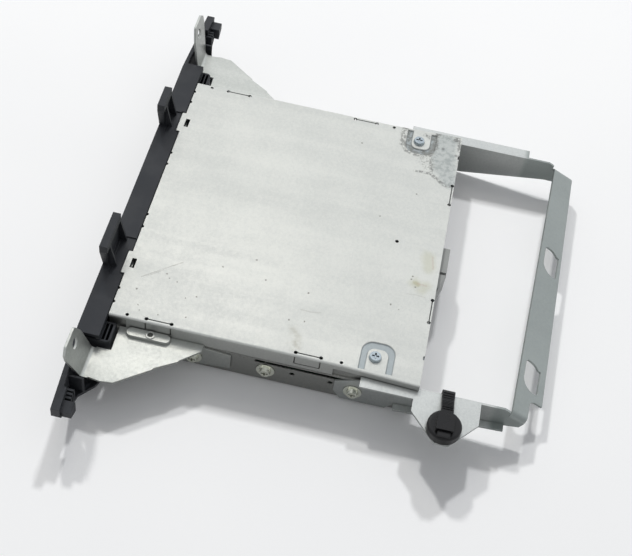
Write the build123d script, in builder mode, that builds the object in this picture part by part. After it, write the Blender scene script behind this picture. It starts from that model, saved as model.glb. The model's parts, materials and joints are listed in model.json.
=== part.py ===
from build123d import *
import os
from math import asin, cos, degrees, pi, radians, sin, tan

os.makedirs("parts", exist_ok=True)

# Slim slot-loading disc player for a car's dashboard. Millimetres, +Z up.
# The front faces -Y. The origin is under the middle of the whole unit, on the surface it rests on.

# Housing
case_w = 178.0
case_d = 160.0
case_h = 27.0
half_w = case_w / 2
sheet = 0.8
bend_r = 1.2
flange_h = 9.0
fold_gap = 0.15
lap_gap = 0.3

# Reach of the front trim before the housing, and of the rear bracket behind its front edge
trim_reach = 12.5
bracket_reach = case_d + 69.2
y_case = (trim_reach - bracket_reach) / 2

# Cover details, with Y counted from the housing's front edge
relief_d = 2.0
relief_inset = 2.2
slit_w = 0.6
side_tab_len = 13.0
side_tab_y = (25.5, case_d - 57.5)
side_tab_h = 5.6
rear_tab_x = 42.5
rear_tab_w = 15.0
tongue_x = 54.0
tongue_w = 15.0
tongue_len = 2.0
tongue_slot = (6.4, 2.4)
front_notch_x = (24.0, half_w - 13.0)
front_notch_pitch = 9.0
notch_r = 0.9
corner_notch_y = (9.0, case_d - 40.6)
rear_notch = (half_w - 16.0, 2.4, 1.6)
top_screw_x = half_w - 9.7
top_screw_y = case_d - 24.6
groove_shift = 1.2
groove_half = (5.2, 8.9)
groove_end_x = (half_w - 15.1, half_w - 19.5)
groove_r = (3.6, 6.4)
groove_deep = 0.7
groove_slope = 40
locating_hole_d = 2.0
locating_hole_y = case_d - 25.6
short_flange_h = 3.6
flare = 1.8

# Openings of the lower case
slot_w = 124.0
slot_h = 6.2
slot_z = case_h - 10.0
slot_room = 3.0
vent_y = (76.0, case_d - 30.0)
vent_h = 2.4
small_hole_y = (96.0, case_d - 44.1)
small_hole_z = 10.6
small_hole_d = 2.6
bead_w = 5.0
bead_y = (42.0, case_d - 42.0)
bead_side_x = 42.0
bead_deep = 0.5

# Rear connector
connector_x = 9.3
connector_w = 31.6
connector_slant = (11.0, 3.4)
connector_h = 12.6
connector_z = case_h - 9.2
connector_out = 4.0
connector_in = 13.0
socket_wall = 1.6
socket_deep = 12.0
pin_size = 0.8
pin_len = 6.0
pin_cols = 5
pin_pitch = 3.2
pin_rows_z = (-2.4, 2.4)

# Screws
screw_d = 3.0
screw_hole_d = 3.4
side_screw_y = (44.4, 82.2, case_d - 32.1)
side_screw_z = 9.4
side_screw_in = 4.0
side_head_d = 6.4
side_head_h = 2.0
washer_d = 9.6
washer_t = 0.7
top_head_d = 6.6
top_head_h = 1.6
top_screw_in = 6.0
post_r = 3.2
recess_w = 0.9

# Front brackets
bracket_t = 1.2
gusset_z = 18.9
gusset_reach = 34.5
gusset_len = 49.5
gusset_front = -1.6
gusset_cut = 15.3
ear_hole_x = half_w + 29.2
ear_hole_up = 19.6
ear_hole_d = 6.0
ear_up = 26.8
ear_lean = 10
ear_spread = 6.4
ear_bend_r = 2.0
ear_round = 3.0
flange_y = (12.0, 64.0)
flange_deep = 13.6
pad_y = (10.0, 33.0)
pad_w = 5.6
pad_h = 2.0
pad_boss_y = 22.4
pad_boss_h = 0.5

# Rear bracket
arm_front = case_d - 42.0
arm_start = case_d - 29.5
arm_top_z = case_h - 4.0
arm_foot_z = 1.0
arm_taper_y = case_d + 4.0
arm_flange_w = 5.6
arm_flange_end = bracket_reach - 28.2
arm_end = (bracket_reach - 16.2, 9.2)
near_foot_y = (case_d - 10.5, bracket_reach - 23.2)
near_foot_z = (6.0, 9.3)
near_foot_w = 4.0
bar_inner = bracket_reach - 11.7
bar_inner_z = arm_top_z - 2.4
bar_tilt = 26.4
bar_width = 16.0
bar_skew = 9.3
bar_spread = 4.2
bar_bend_r = 3.5
bar_leg = 6.5
bar_relief_x = half_w - 13.0
bar_relief = 6.5
leaf_hole = (18.6, 9.8)
leaf_hole_x = (-18.3, half_w - 26.8)
leaf_round = 7.8
leaf_tip_r = 1.6
tab_y = case_d + 15.0
tab_half = 17.0
tab_tip_half = 3.5
tab_reach = 29.3
tab_shoulder = 14.0
clip_x = half_w + 20.8

# Harness clip
clip_r = 8.7
clip_h = 5.0
clip_edge = 1.4
clip_stem_d = 6.0
clip_hole_d = 6.4
strap_w = 6.4
strap_t = 1.3
buckle = (8.6, 9.6, 4.0)

# Front trim
trim_side = 60.6
trim_half = half_w + trim_side
wing_t = (3.0, 4.4)
wing_thick_x = trim_half - 13.6
wing_rib_z = case_h - 3.6
wing_post_drop = 2.8
trim_t = 2.5
trim_foot = 0.6
trim_straight = half_w + 11.0
wing_start = half_w + 19.0
wing_tip_h = 6.0
wing_sweep = 2.8
shelf_t = 1.8
ledge_rear_h = 3.0
ledge_half = half_w + 14.2
case_clear = 0.5
pocket_room = 0.8
pocket_deep = 0.9
hook_up = 19.0
hook_t = 4.2
hooks = ((-52.0, 16.0), (51.0, 24.0))
hook_head = 4.5
hook_cut = 4.8
hook_dish = (1.5, 0.6, 3.0)
block_x = (half_w + 1.4, half_w + 13.9)
block_y = 4.6
block_z = (1.2, case_h - 4.4)
block_round = 2.6
block_wall = 1.2
block_slot_y = (0.6, 2.7)
block_slot_w = 1.4
block_deep = 9.0
wing_post = (trim_half - 8.1, trim_half - 1.2, -0.2)
wing_rib_x = (half_w + gusset_reach + 3.5, trim_half - 14.8, trim_half - 12.6, trim_half - 10.4)
rib_t = 1.2

# Screws that hold the trim from inside the housing
trim_screw = (half_w - 7.0, 6.0)
trim_boss_r = 3.4
trim_screw_len = 7.0
trim_head = (2.8, 1.6)

# Eject button and its switch, between the trim's inner ribs
trim_rib_x = (slot_w / 2 + 4.1, half_w - 2.0)
switch_board = (
    trim_rib_x[1] - trim_rib_x[0] - 2.9,
    2 * (slot_z - trim_screw[1] - trim_boss_r - 1.4),
    1.0,
)
button_x = sum(trim_rib_x) / 2 - 0.55
button_w = switch_board[0] - 6.0
button_h = 6.0
button_travel = 1.2
button_gap = 0.3
button_recess = 0.2
switch_board_y = 1.8
switch_h = 1.3
plunger_h = 0.7
switch_post = (switch_board[0] / 2 - 1.6, switch_board[1] / 2 - 1.3)
switch_post_r = (1.1, 0.7)

# Dust lips
lip_gap = 4.4
lip_h = 3.4
lip_t = 0.7
lip_over = 1.5
slot_lead = 0.8

# Main board
board_z = 2.6
board_t = 1.6
board_half_w = half_w - 5.0
board_y = (60.0, case_d - 4.0)
board_screw_x = half_w - 9.0
board_screw_y = (66.0, case_d - 10.0)
post_hole_r = 3.8
chip_h = 1.6
capacitor = (3.2, 7.0)
capacitor_x = half_w - 9.0
capacitor_at = ((-capacitor_x, 88.0), (-capacitor_x, 98.0), (capacitor_x, 88.0), (capacitor_x, 112.0))
chips = ((-48.0, 84.0, 14.0, 14.0), (-46.0, 112.0, 10.0, 16.0), (44.0, 118.0, 12.0, 8.0))

# Drive deck
disc_y_in = 70.0
deck_z = 9.0
deck_t = 1.0
deck_half_w = half_w - 14.5
deck_y = (40.6, case_d - 16.0)
damper_x = deck_half_w - 8.5
damper_y = (46.0, deck_y[1] - 12.0)
damper_r = (2.0, 4.2)
damper_pin_r = 1.6
deck_float = 0.8
deck_hole_at = ((-40.0, 70.0), (-40.0, deck_y[1] - 24.0), (30.0, deck_y[1] - 24.0))

# Spindle and turntable
disc_plane_z = 13.0
motor_r = 10.0
motor_h = 3.2
turntable_r = 12.5
turntable_t = 2.4
hub_r = 7.3
hub_h = 1.4
shaft_d = 2.0
run_gap = 0.05

# Pickup and its drive
pickup_x = (11.5, 36.5)
pickup_half = 13.0
pickup_z = (5.8, 10.6)
lens_x = 24.0
lens_r = 3.4
lens_h = 1.5
rod_d = 3.0
rod_boss_r = 2.4
rod_offset = 17.0
rod_z = 7.6
window_x = (10.5, deck_half_w - 3.5)
window_half = 20.5
holder_t = 3.0
lead_y = 26.0
lead_z = 9.0
lead_d = 2.6
lead_end = 1.5
nut_gap = 0.4
nut_w = 12.0
sled_motor = (19.0, 12.0, 7.2)
sled_motor_x = -3.0

# Clamp
clamp_pivot_y = deck_y[1] - 6.0
clamp_pivot_z = case_h - 5.8
clamp_z = case_h - 4.4
clamp_t = 0.8
clamp_half = (24.2, 12.0)
clamp_ear = 3.0
clamp_pin_d = 2.4
puck_r = 12.0
puck_z = (case_h - 7.5, case_h - 4.7)
puck_recess = (8.2, 1.8)
puck_neck = (4.2, 6.0)

# Loading unit
roller_y = 8.0
roller_z = 10.8
roller_r = 3.4
roller_waist = 0.5
roller_half = slot_w / 2 - 6.0
roller_shaft_d = 2.4
loader_pivot_y = 36.0
loader_pivot_z = 6.0
loader_half = slot_w / 2 + 5.2
lug_r = 2.8
pivot_pin_d = 2.4
loader_t = 1.2
loader_floor = 3.0
gear_module = 0.6
gear_x = slot_w / 2 - 0.8
gear_w = 3.0
gear_side = 0.6
motor_shaft_d = 2.0
gear_backlash = 0.45
pinion_teeth = 12
idler_teeth = 20
roller_teeth = 16
tooth_angle = 74
idler_z = 9.0
pinion_z = 9.4
idler_pin_d = 2.0
loading_motor = (20.0, 5.0)
guide_z = slot_z + 2.3
guide_depth = 22.0
guide_half = slot_w / 2 - 1.8

# Derived places
y_rear = y_case + case_d
cover_under = case_h - sheet
bead_len = 2 * (damper_x - damper_r[1] - 6.8)
lip_x = half_w - sheet - fold_gap
lip_top = cover_under - bend_r - fold_gap
joggle_z = case_h - flange_h - lap_gap
disc_y = y_case + disc_y_in
trim_y = y_case - trim_reach
arm_out = half_w + bracket_t
gusset_y = y_case + gusset_front
board_top = board_z + board_t
dampers = [(side * damper_x, y_case + y) for side in (-1, 1) for y in damper_y]
loader_y = y_case + loader_pivot_y
roller_at = (y_case + roller_y, roller_z)
switch_posts = [
    (button_x + side * switch_post[0], slot_z - side * switch_post[1]) for side in (-1, 1)
]


def both_sides(x, *rest):
    """The same place on the right and on the left."""
    return [(x, *rest), (-x, *rest)]


def bent_sheet(points, radius, thickness, side=Side.RIGHT):
    """Face of a sheet that follows the points with rounded bends, on one side of them."""
    with BuildLine() as path:
        FilletPolyline(*points, radius=radius)
        offset(amount=thickness, side=side)
    make_face(path.edges())


def outline(*points):
    """Face inside a closed outline of straight runs."""
    with BuildLine() as path:
        Polyline(*points, close=True)
    make_face(path.edges())


def gear_face(centre, teeth, phase, bore):
    """Straight-flanked gear in the YZ plane, with one tooth at the phase angle."""
    pitch_r = gear_module * teeth / 2
    root_r = pitch_r - 1.25 * gear_module
    height = 2.1 * gear_module
    width = (pi * gear_module - gear_backlash) / 2 + 2.5 * gear_module / tan(radians(tooth_angle))
    with Locations(centre):
        Circle(root_r)
        with PolarLocations(root_r - 0.1, teeth, start_angle=phase):
            with Locations(Location((0, 0), -90)):
                Trapezoid(width, height + 0.1, tooth_angle, align=(Align.CENTER, Align.MIN))
        Circle(bore, mode=Mode.SUBTRACT)


def next_gear(centre, teeth, phase, next_teeth, next_z):
    """Centre and phase of the gear that meshes behind this one, with its axle at next_z."""
    span = gear_module * (teeth + next_teeth) / 2
    angle = degrees(asin((next_z - centre[1]) / span))
    ahead = (phase - angle) * teeth / 360
    behind = (centre[0] + span * cos(radians(angle)), next_z)
    return behind, angle + 180 + (0.5 - ahead) * 360 / next_teeth


def save(part, label):
    """Name a finished piece and write it."""
    part.label = label
    export_step(part, "parts/" + label + ".step")


# Top cover: a folded sheet with flanges down its long edges and across the rear
with BuildPart() as top_cover:
    with BuildSketch(Plane.XZ.offset(-y_case)):
        flange_foot = case_h - flange_h
        bent_sheet(
            [(-half_w, flange_foot), (-half_w, case_h), (half_w, case_h), (half_w, flange_foot)],
            bend_r,
            sheet,
        )
    extrude(amount=-case_d)
    with BuildSketch(Plane.XY.offset(cover_under)):
        with Locations(*both_sides(tongue_x, y_case)):
            RectangleRounded(tongue_w, 2 * tongue_len, 0.6)
    extrude(amount=sheet)
    with BuildSketch(Plane.XZ.offset(-y_rear)):
        with Locations((0, cover_under)):
            Rectangle(case_w - 4 * bend_r, flange_h - sheet, align=(Align.CENTER, Align.MAX))
        with Locations((connector_x, cover_under)):
            Rectangle(
                connector_w + 2, flange_h, align=(Align.CENTER, Align.MAX), mode=Mode.SUBTRACT
            )
    extrude(amount=sheet)
    # Relief holes joined by a slit, tongue slots, edge notches and the locating hole
    with BuildSketch(Plane.XY.offset(case_h)):
        for tab in side_tab_y:
            with Locations(*both_sides(half_w - relief_inset, y_case + tab)):
                Rectangle(slit_w, side_tab_len)
            for end in (-side_tab_len / 2, side_tab_len / 2):
                with Locations(*both_sides(half_w - relief_inset, y_case + tab + end)):
                    Circle(relief_d / 2)
        with Locations(*both_sides(rear_tab_x, y_rear - relief_inset / 2)):
            Rectangle(rear_tab_w, slit_w)
        for end in (-rear_tab_w / 2, rear_tab_w / 2):
            with Locations(*both_sides(rear_tab_x + end, y_rear - relief_inset / 2)):
                Circle(relief_d / 2)
        with Locations(*both_sides(tongue_x, y_case + tongue_slot[1])):
            Rectangle(*tongue_slot)
        for notch_x in front_notch_x:
            for end in (-front_notch_pitch / 2, front_notch_pitch / 2):
                with Locations(*both_sides(notch_x + end, y_case)):
                    Circle(notch_r)
        for notch_y in corner_notch_y:
            with Locations(*both_sides(half_w - relief_inset, y_case + notch_y)):
                Circle(notch_r)
        with Locations(*both_sides(rear_notch[0], y_rear)):
            Rectangle(rear_notch[1], rear_notch[2])
        with Locations((0, y_case + locating_hole_y)):
            Circle(locating_hole_d / 2)
    extrude(amount=-2 * sheet, mode=Mode.SUBTRACT)
    # The pressed tabs are slit free of the flange on three sides
    with BuildSketch(Plane.YZ.offset(-half_w - 1)):
        for tab in side_tab_y:
            with Locations((y_case + tab, cover_under - side_tab_h)):
                Rectangle(side_tab_len, slit_w)
            for end in (-side_tab_len / 2, side_tab_len / 2):
                with Locations((y_case + tab + end, cover_under)):
                    Rectangle(slit_w, side_tab_h, align=(Align.CENTER, Align.MAX))
    extrude(amount=case_w + 2, mode=Mode.SUBTRACT)
    # The flanges are short beside the rear bracket's arms
    with BuildSketch(Plane.YZ.offset(-half_w - 1)):
        with Locations((y_case + arm_front - 2, flange_foot)):
            Rectangle(
                case_d, flange_h - short_flange_h, align=(Align.MIN, Align.MIN)
            )
    extrude(amount=case_w + 2, mode=Mode.SUBTRACT)
    # No flange before the first notches
    with BuildSketch(Plane.YZ.offset(-half_w - 1)):
        with Locations((y_case - 1, flange_foot - 1)):
            Rectangle(corner_notch_y[0] + 1, flange_h - sheet, align=(Align.MIN, Align.MIN))
    extrude(amount=case_w + 2, mode=Mode.SUBTRACT)
    # Behind the second notches the long edges flare outward over the rear bracket's arms
    flare_y = y_case + corner_notch_y[1] + notch_r
    for side in (-1, 1):
        with BuildSketch(Plane.XY.offset(flange_foot)):
            outline(
                (side * (half_w - bend_r), flare_y),
                (side * (half_w + 1), flare_y),
                (side * (half_w + 1), y_rear + 1),
                (side * (half_w - bend_r), y_rear + 1),
            )
        extrude(amount=flange_h - sheet, mode=Mode.SUBTRACT)
        with BuildSketch(Plane.XY.offset(cover_under)):
            outline(
                (side * (half_w - 2 * bend_r), flare_y),
                (side * half_w, flare_y),
                (side * (half_w + flare), y_rear),
                (side * (half_w - 2 * bend_r), y_rear),
            )
        extrude(amount=sheet)
        with BuildSketch(Plane.XY.offset(case_h - short_flange_h)):
            outline(
                (side * (half_w - sheet), flare_y),
                (side * half_w, flare_y),
                (side * (half_w + flare), y_rear),
                (side * (half_w + flare - sheet), y_rear),
            )
        extrude(amount=short_flange_h - sheet / 2)
    flared = top_cover.edges().group_by(Axis.Z)[-1].filter_by_position(Axis.Y, flare_y, y_rear)
    fillet([e for e in flared if abs(abs(e.center().X) - half_w - flare / 2) < 0.2], bend_r * 0.8)
    # U grooves round the two top screws
    groove_y = y_case + top_screw_y + groove_shift
    for side, along in ((1, Align.MIN), (-1, Align.MAX)):
        with BuildSketch(Plane.XY.offset(case_h), mode=Mode.PRIVATE) as groove:
            for half, end_x, corner_r, mode in (
                (groove_half[1], groove_end_x[1], groove_r[1], Mode.ADD),
                (groove_half[0], groove_end_x[0], groove_r[0], Mode.SUBTRACT),
            ):
                with Locations((side * end_x, groove_y)):
                    RectangleRounded(
                        4 * groove_half[1], 2 * half, corner_r, align=(along, Align.CENTER), mode=mode
                    )
            with Locations((side * (half_w - bend_r), groove_y)):
                Rectangle(
                    4 * groove_half[1],
                    3 * groove_half[1],
                    align=(along, Align.CENTER),
                    mode=Mode.SUBTRACT,
                )
        extrude(groove.sketch, amount=-groove_deep - sheet)
        extrude(groove.sketch, amount=-groove_deep, taper=groove_slope, mode=Mode.SUBTRACT)
    with Locations(*both_sides(top_screw_x, y_case + top_screw_y, case_h)):
        Hole(screw_hole_d / 2, depth=2 * sheet)
save(top_cover.part, "top_cover")

# Lower case: a folded tray whose upper lips stand inside the cover's flanges
with BuildPart() as lower_case:
    tray_len = case_d - sheet - fold_gap
    with BuildSketch(Plane.XZ.offset(-y_case)):
        bent_sheet(
            [(-half_w, joggle_z), (-half_w, 0), (half_w, 0), (half_w, joggle_z)],
            bend_r,
            sheet,
            Side.LEFT,
        )
        for side, along in ((1, Align.MAX), (-1, Align.MIN)):
            with Locations((side * lip_x, joggle_z - 1.5 * sheet)):
                Rectangle(sheet, lip_top - joggle_z + 1.5 * sheet, align=(along, Align.MIN))
            with Locations((side * half_w, joggle_z)):
                Rectangle(half_w - lip_x + sheet, 1.5 * sheet, align=(along, Align.MAX))
    extrude(amount=-tray_len)
    with BuildSketch(Plane.XZ.offset(-y_case)):
        with Locations((0, sheet / 2)):
            Rectangle(2 * lip_x - sheet, lip_top - sheet / 2, align=(Align.CENTER, Align.MIN))
        with Locations((0, slot_z)):
            RectangleRounded(slot_w + 2 * slot_room, slot_h + slot_room, 1.0, mode=Mode.SUBTRACT)
    extrude(amount=-sheet)
    with BuildSketch(Plane.XZ.offset(-(y_case + tray_len))):
        with Locations((0, sheet / 2)):
            Rectangle(2 * lip_x - sheet, lip_top - sheet / 2, align=(Align.CENTER, Align.MIN))
        with Locations((connector_x, connector_z + connector_h / 2 + fold_gap)):
            Rectangle(
                connector_w + 2 * fold_gap,
                connector_h + 2 * fold_gap,
                align=(Align.CENTER, Align.MAX),
                mode=Mode.SUBTRACT,
            )
    extrude(amount=sheet)
    # Long openings under the cover's edge, round holes and screw holes, through both walls
    with BuildSketch(Plane.YZ.offset(-half_w - 1)):
        with Locations((y_case + sum(vent_y) / 2, joggle_z - 1.5 * sheet - vent_h / 2)):
            SlotOverall(vent_y[1] - vent_y[0], vent_h)
        with Locations(*[(y_case + hole_y, small_hole_z) for hole_y in small_hole_y]):
            Circle(small_hole_d / 2)
        with Locations(*[(y_case + hole_y, side_screw_z) for hole_y in side_screw_y]):
            Circle(screw_hole_d / 2)
    extrude(amount=case_w + 2, mode=Mode.SUBTRACT)
    # Stiffening beads pressed up into the floor
    beads = [(0, place, bead_len, 0) for place in bead_y]
    beads += [
        (side * bead_side_x, sum(bead_y) / 2, bead_y[1] - bead_y[0] - 6 * bead_w, 90)
        for side in (-1, 1)
    ]
    for inset, height, mode in ((0, sheet + bead_deep, Mode.ADD), (sheet, bead_deep, Mode.SUBTRACT)):
        with BuildSketch():
            for bead_x, bead_y, length, turn in beads:
                with Locations((bead_x, y_case + bead_y)):
                    SlotOverall(length - inset, bead_w - inset, rotation=turn)
        extrude(amount=height, mode=mode)
    # Posts under the top screws, and stand-offs for the main board
    with BuildSketch(Plane.XY.offset(sheet / 2)):
        with Locations(*both_sides(top_screw_x, y_case + top_screw_y)):
            Circle(post_r)
    extrude(amount=cover_under - fold_gap - sheet / 2)
    with Locations(*both_sides(top_screw_x, y_case + top_screw_y, cover_under - fold_gap)):
        Hole(screw_d / 2, depth=top_screw_in + 1)
    board_points = [
        (side * board_screw_x, y_case + screw_y) for side in (-1, 1) for screw_y in board_screw_y
    ]
    with BuildSketch(Plane.XY.offset(sheet / 2)):
        with Locations(*board_points):
            Circle(2.6)
    extrude(amount=board_z - sheet / 2)
    with Locations(*[(x, y, board_z) for x, y in board_points]):
        Hole(1.0, depth=board_z - sheet)
    # Pins inside the deck's damper bushes
    with BuildSketch(Plane.XY.offset(sheet / 2)):
        with Locations(*dampers):
            Circle(damper_pin_r)
    extrude(amount=deck_z - deck_float - fold_gap - sheet / 2)
    # Lugs with pivot pins for the loading unit
    for side in (-1, 1):
        lug = Plane(
            origin=(side * (loader_half + fold_gap), y_case + loader_pivot_y, 0),
            x_dir=(0, side, 0),
            z_dir=(side, 0, 0),
        )
        with BuildSketch(lug):
            with Locations((0, sheet / 2)):
                Rectangle(2 * lug_r, loader_pivot_z, align=(Align.CENTER, Align.MIN))
            with Locations((0, loader_pivot_z)):
                Circle(lug_r)
        extrude(amount=loader_t)
        with BuildSketch(lug):
            with Locations((0, loader_pivot_z)):
                Circle(pivot_pin_d / 2)
        extrude(amount=-loader_t - 2 * fold_gap)
    # Holes for the trim's screws in the front wall
    with BuildSketch(Plane.XZ.offset(-y_case)):
        with Locations(*both_sides(trim_screw[0], trim_screw[1])):
            Circle(screw_hole_d / 2)
    extrude(amount=-sheet, mode=Mode.SUBTRACT)
save(lower_case.part, "lower_case")

# Front brackets: an upright ear, a flat gusset and a flange down the housing's side
ear_y = gusset_y - ear_bend_r - bracket_t
ear_in = half_w + gusset_cut
ear_out = half_w + gusset_reach + ear_spread
ear_slope = tan(radians(ear_lean))
ear_hole = (ear_hole_x, ear_y - (ear_hole_up + bracket_t) * ear_slope, gusset_z + ear_hole_up)
with BuildPart() as ear:
    with BuildSketch(Plane.YZ.offset(half_w)):
        bent_sheet(
            [
                (gusset_y + bracket_t, gusset_z - bracket_t),
                (ear_y, gusset_z - bracket_t),
                (ear_y - (ear_up + 2 * bracket_t) * ear_slope, gusset_z + ear_up + bracket_t),
            ],
            ear_bend_r + bracket_t,
            bracket_t,
        )
    extrude(amount=ear_out - half_w)
    with BuildSketch(Plane.XZ.offset(-gusset_y)) as ear_face:
        outline(
            (ear_in, gusset_z - 2 * bracket_t),
            (ear_in + 5.3, gusset_z + 0.72 * ear_up),
            (ear_in + 9.8, gusset_z + ear_up),
            (ear_out - 3.5, gusset_z + ear_up),
            (ear_out, gusset_z + 0.9 * ear_up),
            (ear_out, gusset_z + 0.76 * ear_up),
            (half_w + gusset_reach - 1.0, gusset_z - 2 * bracket_t),
        )
        top_corners = ear_face.vertices().sort_by(Axis.Y)[-5:]
        fillet(top_corners.sort_by(Axis.X)[:3] + top_corners.sort_by(Axis.X)[-1:], ear_round / 2)
    extrude(amount=2 * ear_up, both=True, mode=Mode.INTERSECT)
    with BuildSketch(Plane(origin=ear_hole, x_dir=(1, 0, 0), z_dir=(0, -1, -ear_slope))):
        Circle(ear_hole_d / 2)
    extrude(amount=2 * bracket_t, both=True, mode=Mode.SUBTRACT)

with BuildPart() as front_bracket:
    add(ear.part)
    with BuildSketch(Plane.XY.offset(gusset_z - bracket_t)):
        outline(
            (half_w, y_case + block_y + bracket_t),
            (half_w, y_case + gusset_len),
            (half_w + 4.2, y_case + gusset_len),
            (half_w + 12.6, y_case + gusset_len - 9.6),
            (half_w + 13.6, y_case + gusset_len - 10.0),
            (half_w + 20.4, y_case + gusset_len - 20.6),
            (half_w + 21.4, y_case + gusset_len - 21.0),
            (half_w + gusset_reach - 0.8, y_case + 12.4),
            (half_w + gusset_reach, y_case + 6.0),
            (half_w + gusset_reach - 1.0, gusset_y),
            (ear_in, gusset_y),
            (ear_in, y_case + block_y + bracket_t),
        )
    extrude(amount=bracket_t)
    with BuildSketch(Plane.YZ.offset(half_w)):
        outline(
            (y_case + flange_y[0], gusset_z),
            (y_case + gusset_len, gusset_z),
            (y_case + gusset_len + 1.0, gusset_z - 1.6),
            (y_case + flange_y[1], gusset_z - 3.2),
            (y_case + flange_y[1], gusset_z - flange_deep),
            (y_case + side_screw_y[0] - 7.0, gusset_z - flange_deep - 2.8),
            (y_case + flange_y[0], gusset_z - 9.0),
        )
        with Locations((y_case + side_screw_y[0], side_screw_z)):
            Circle(screw_hole_d / 2, mode=Mode.SUBTRACT)
    extrude(amount=bracket_t)
save(mirror(front_bracket.part, about=Plane.YZ), "left_front_bracket")
with BuildPart() as right_bracket:
    add(front_bracket.part)
    # Pressed pad beside the cover's edge, on the right bracket only
    pad_x = half_w + pad_w / 2 + fold_gap
    with BuildSketch(Plane.XY.offset(gusset_z)):
        with Locations((pad_x, y_case + sum(pad_y) / 2)):
            SlotOverall(pad_y[1] - pad_y[0], pad_w, rotation=90)
    extrude(amount=pad_h, taper=8)
    with BuildSketch(Plane.XY.offset(gusset_z + pad_h)):
        with Locations((pad_x, y_case + pad_boss_y)):
            Circle(pad_w * 0.42)
    extrude(amount=pad_boss_h)
    with Locations((pad_x, y_case + pad_boss_y, gusset_z + pad_h + pad_boss_h)):
        Hole(pad_w / 4, depth=3 * pad_h)
save(right_bracket.part, "right_front_bracket")

# Rear bracket: two arms joined by a tilted cross strip that runs a little out of square
tilt = radians(bar_tilt)
fold = Vector(0, cos(tilt), -sin(tilt))
rise = Vector(0, sin(tilt), cos(tilt))
bar_mid = Vector(0, y_case + bar_inner - bar_skew / 2, bar_inner_z)
bar_run = Vector(2 * arm_out, -bar_skew, 0).normalized()
across = rise.cross(bar_run)
strip_w = bar_width * fold.dot(across)
end_rise = bar_skew / 2 * sin(tilt)
with BuildPart() as strip:
    with BuildSketch(Plane(origin=bar_mid - fold * 2 * bar_width, x_dir=(-1, 0, 0), z_dir=fold)):
        bent_sheet(
            [
                (arm_out, end_rise - bar_leg),
                (arm_out, end_rise),
                (-arm_out, -end_rise),
                (-arm_out, -end_rise - bar_leg),
            ],
            bar_bend_r,
            bracket_t,
            Side.LEFT,
        )
    extrude(amount=4 * bar_width)
    split(bisect_by=Plane(origin=bar_mid, x_dir=bar_run, z_dir=across))
    spread = bar_spread / (2 * arm_out)
    low_edge = Plane(
        origin=bar_mid + across * (strip_w - bar_spread / 6),
        x_dir=bar_run + across * spread,
        z_dir=across - bar_run * spread,
    )
    split(bisect_by=low_edge, keep=Keep.BOTTOM)
    # Leaf-shaped holes: two opposite corners widely rounded
    hole_plane = Plane(origin=bar_mid + across * strip_w / 2, x_dir=bar_run, z_dir=rise)
    with BuildSketch(hole_plane) as leaf_holes:
        for hole_x in leaf_hole_x:
            with Locations((hole_x, 0)):
                Rectangle(*leaf_hole)
            half_l, half_h = leaf_hole[0] / 2, leaf_hole[1] / 2
            for turn in (1, -1):
                corner = (hole_x - turn * half_l, turn * half_h)
                with Locations(corner):
                    Rectangle(2 * leaf_round, 2 * leaf_round, mode=Mode.SUBTRACT)
                with Locations((corner[0] + turn * leaf_round, corner[1] - turn * leaf_round)):
                    Circle(leaf_round)
        with Locations(*[(hole_x, 0) for hole_x in leaf_hole_x]):
            Rectangle(*leaf_hole, mode=Mode.INTERSECT)
        tips = [
            tip
            for tip in leaf_holes.vertices()
            for hole_x in leaf_hole_x
            if abs(abs(tip.X - hole_x) - half_l) + abs(abs(tip.Y) - half_h) < 0.01
        ]
        fillet(tips, leaf_tip_r)
    extrude(amount=bracket_t * 3, both=True, mode=Mode.SUBTRACT)
    # Relief beside the right fold
    with BuildSketch(Plane(origin=bar_mid + across * strip_w, x_dir=bar_run, z_dir=rise)):
        with Locations((bar_relief_x, 0)):
            RectangleRounded(
                case_w, 2 * bar_relief, bar_relief / 2, align=(Align.MIN, Align.CENTER)
            )
    extrude(amount=4 * bar_leg, both=True, mode=Mode.SUBTRACT)

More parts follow.
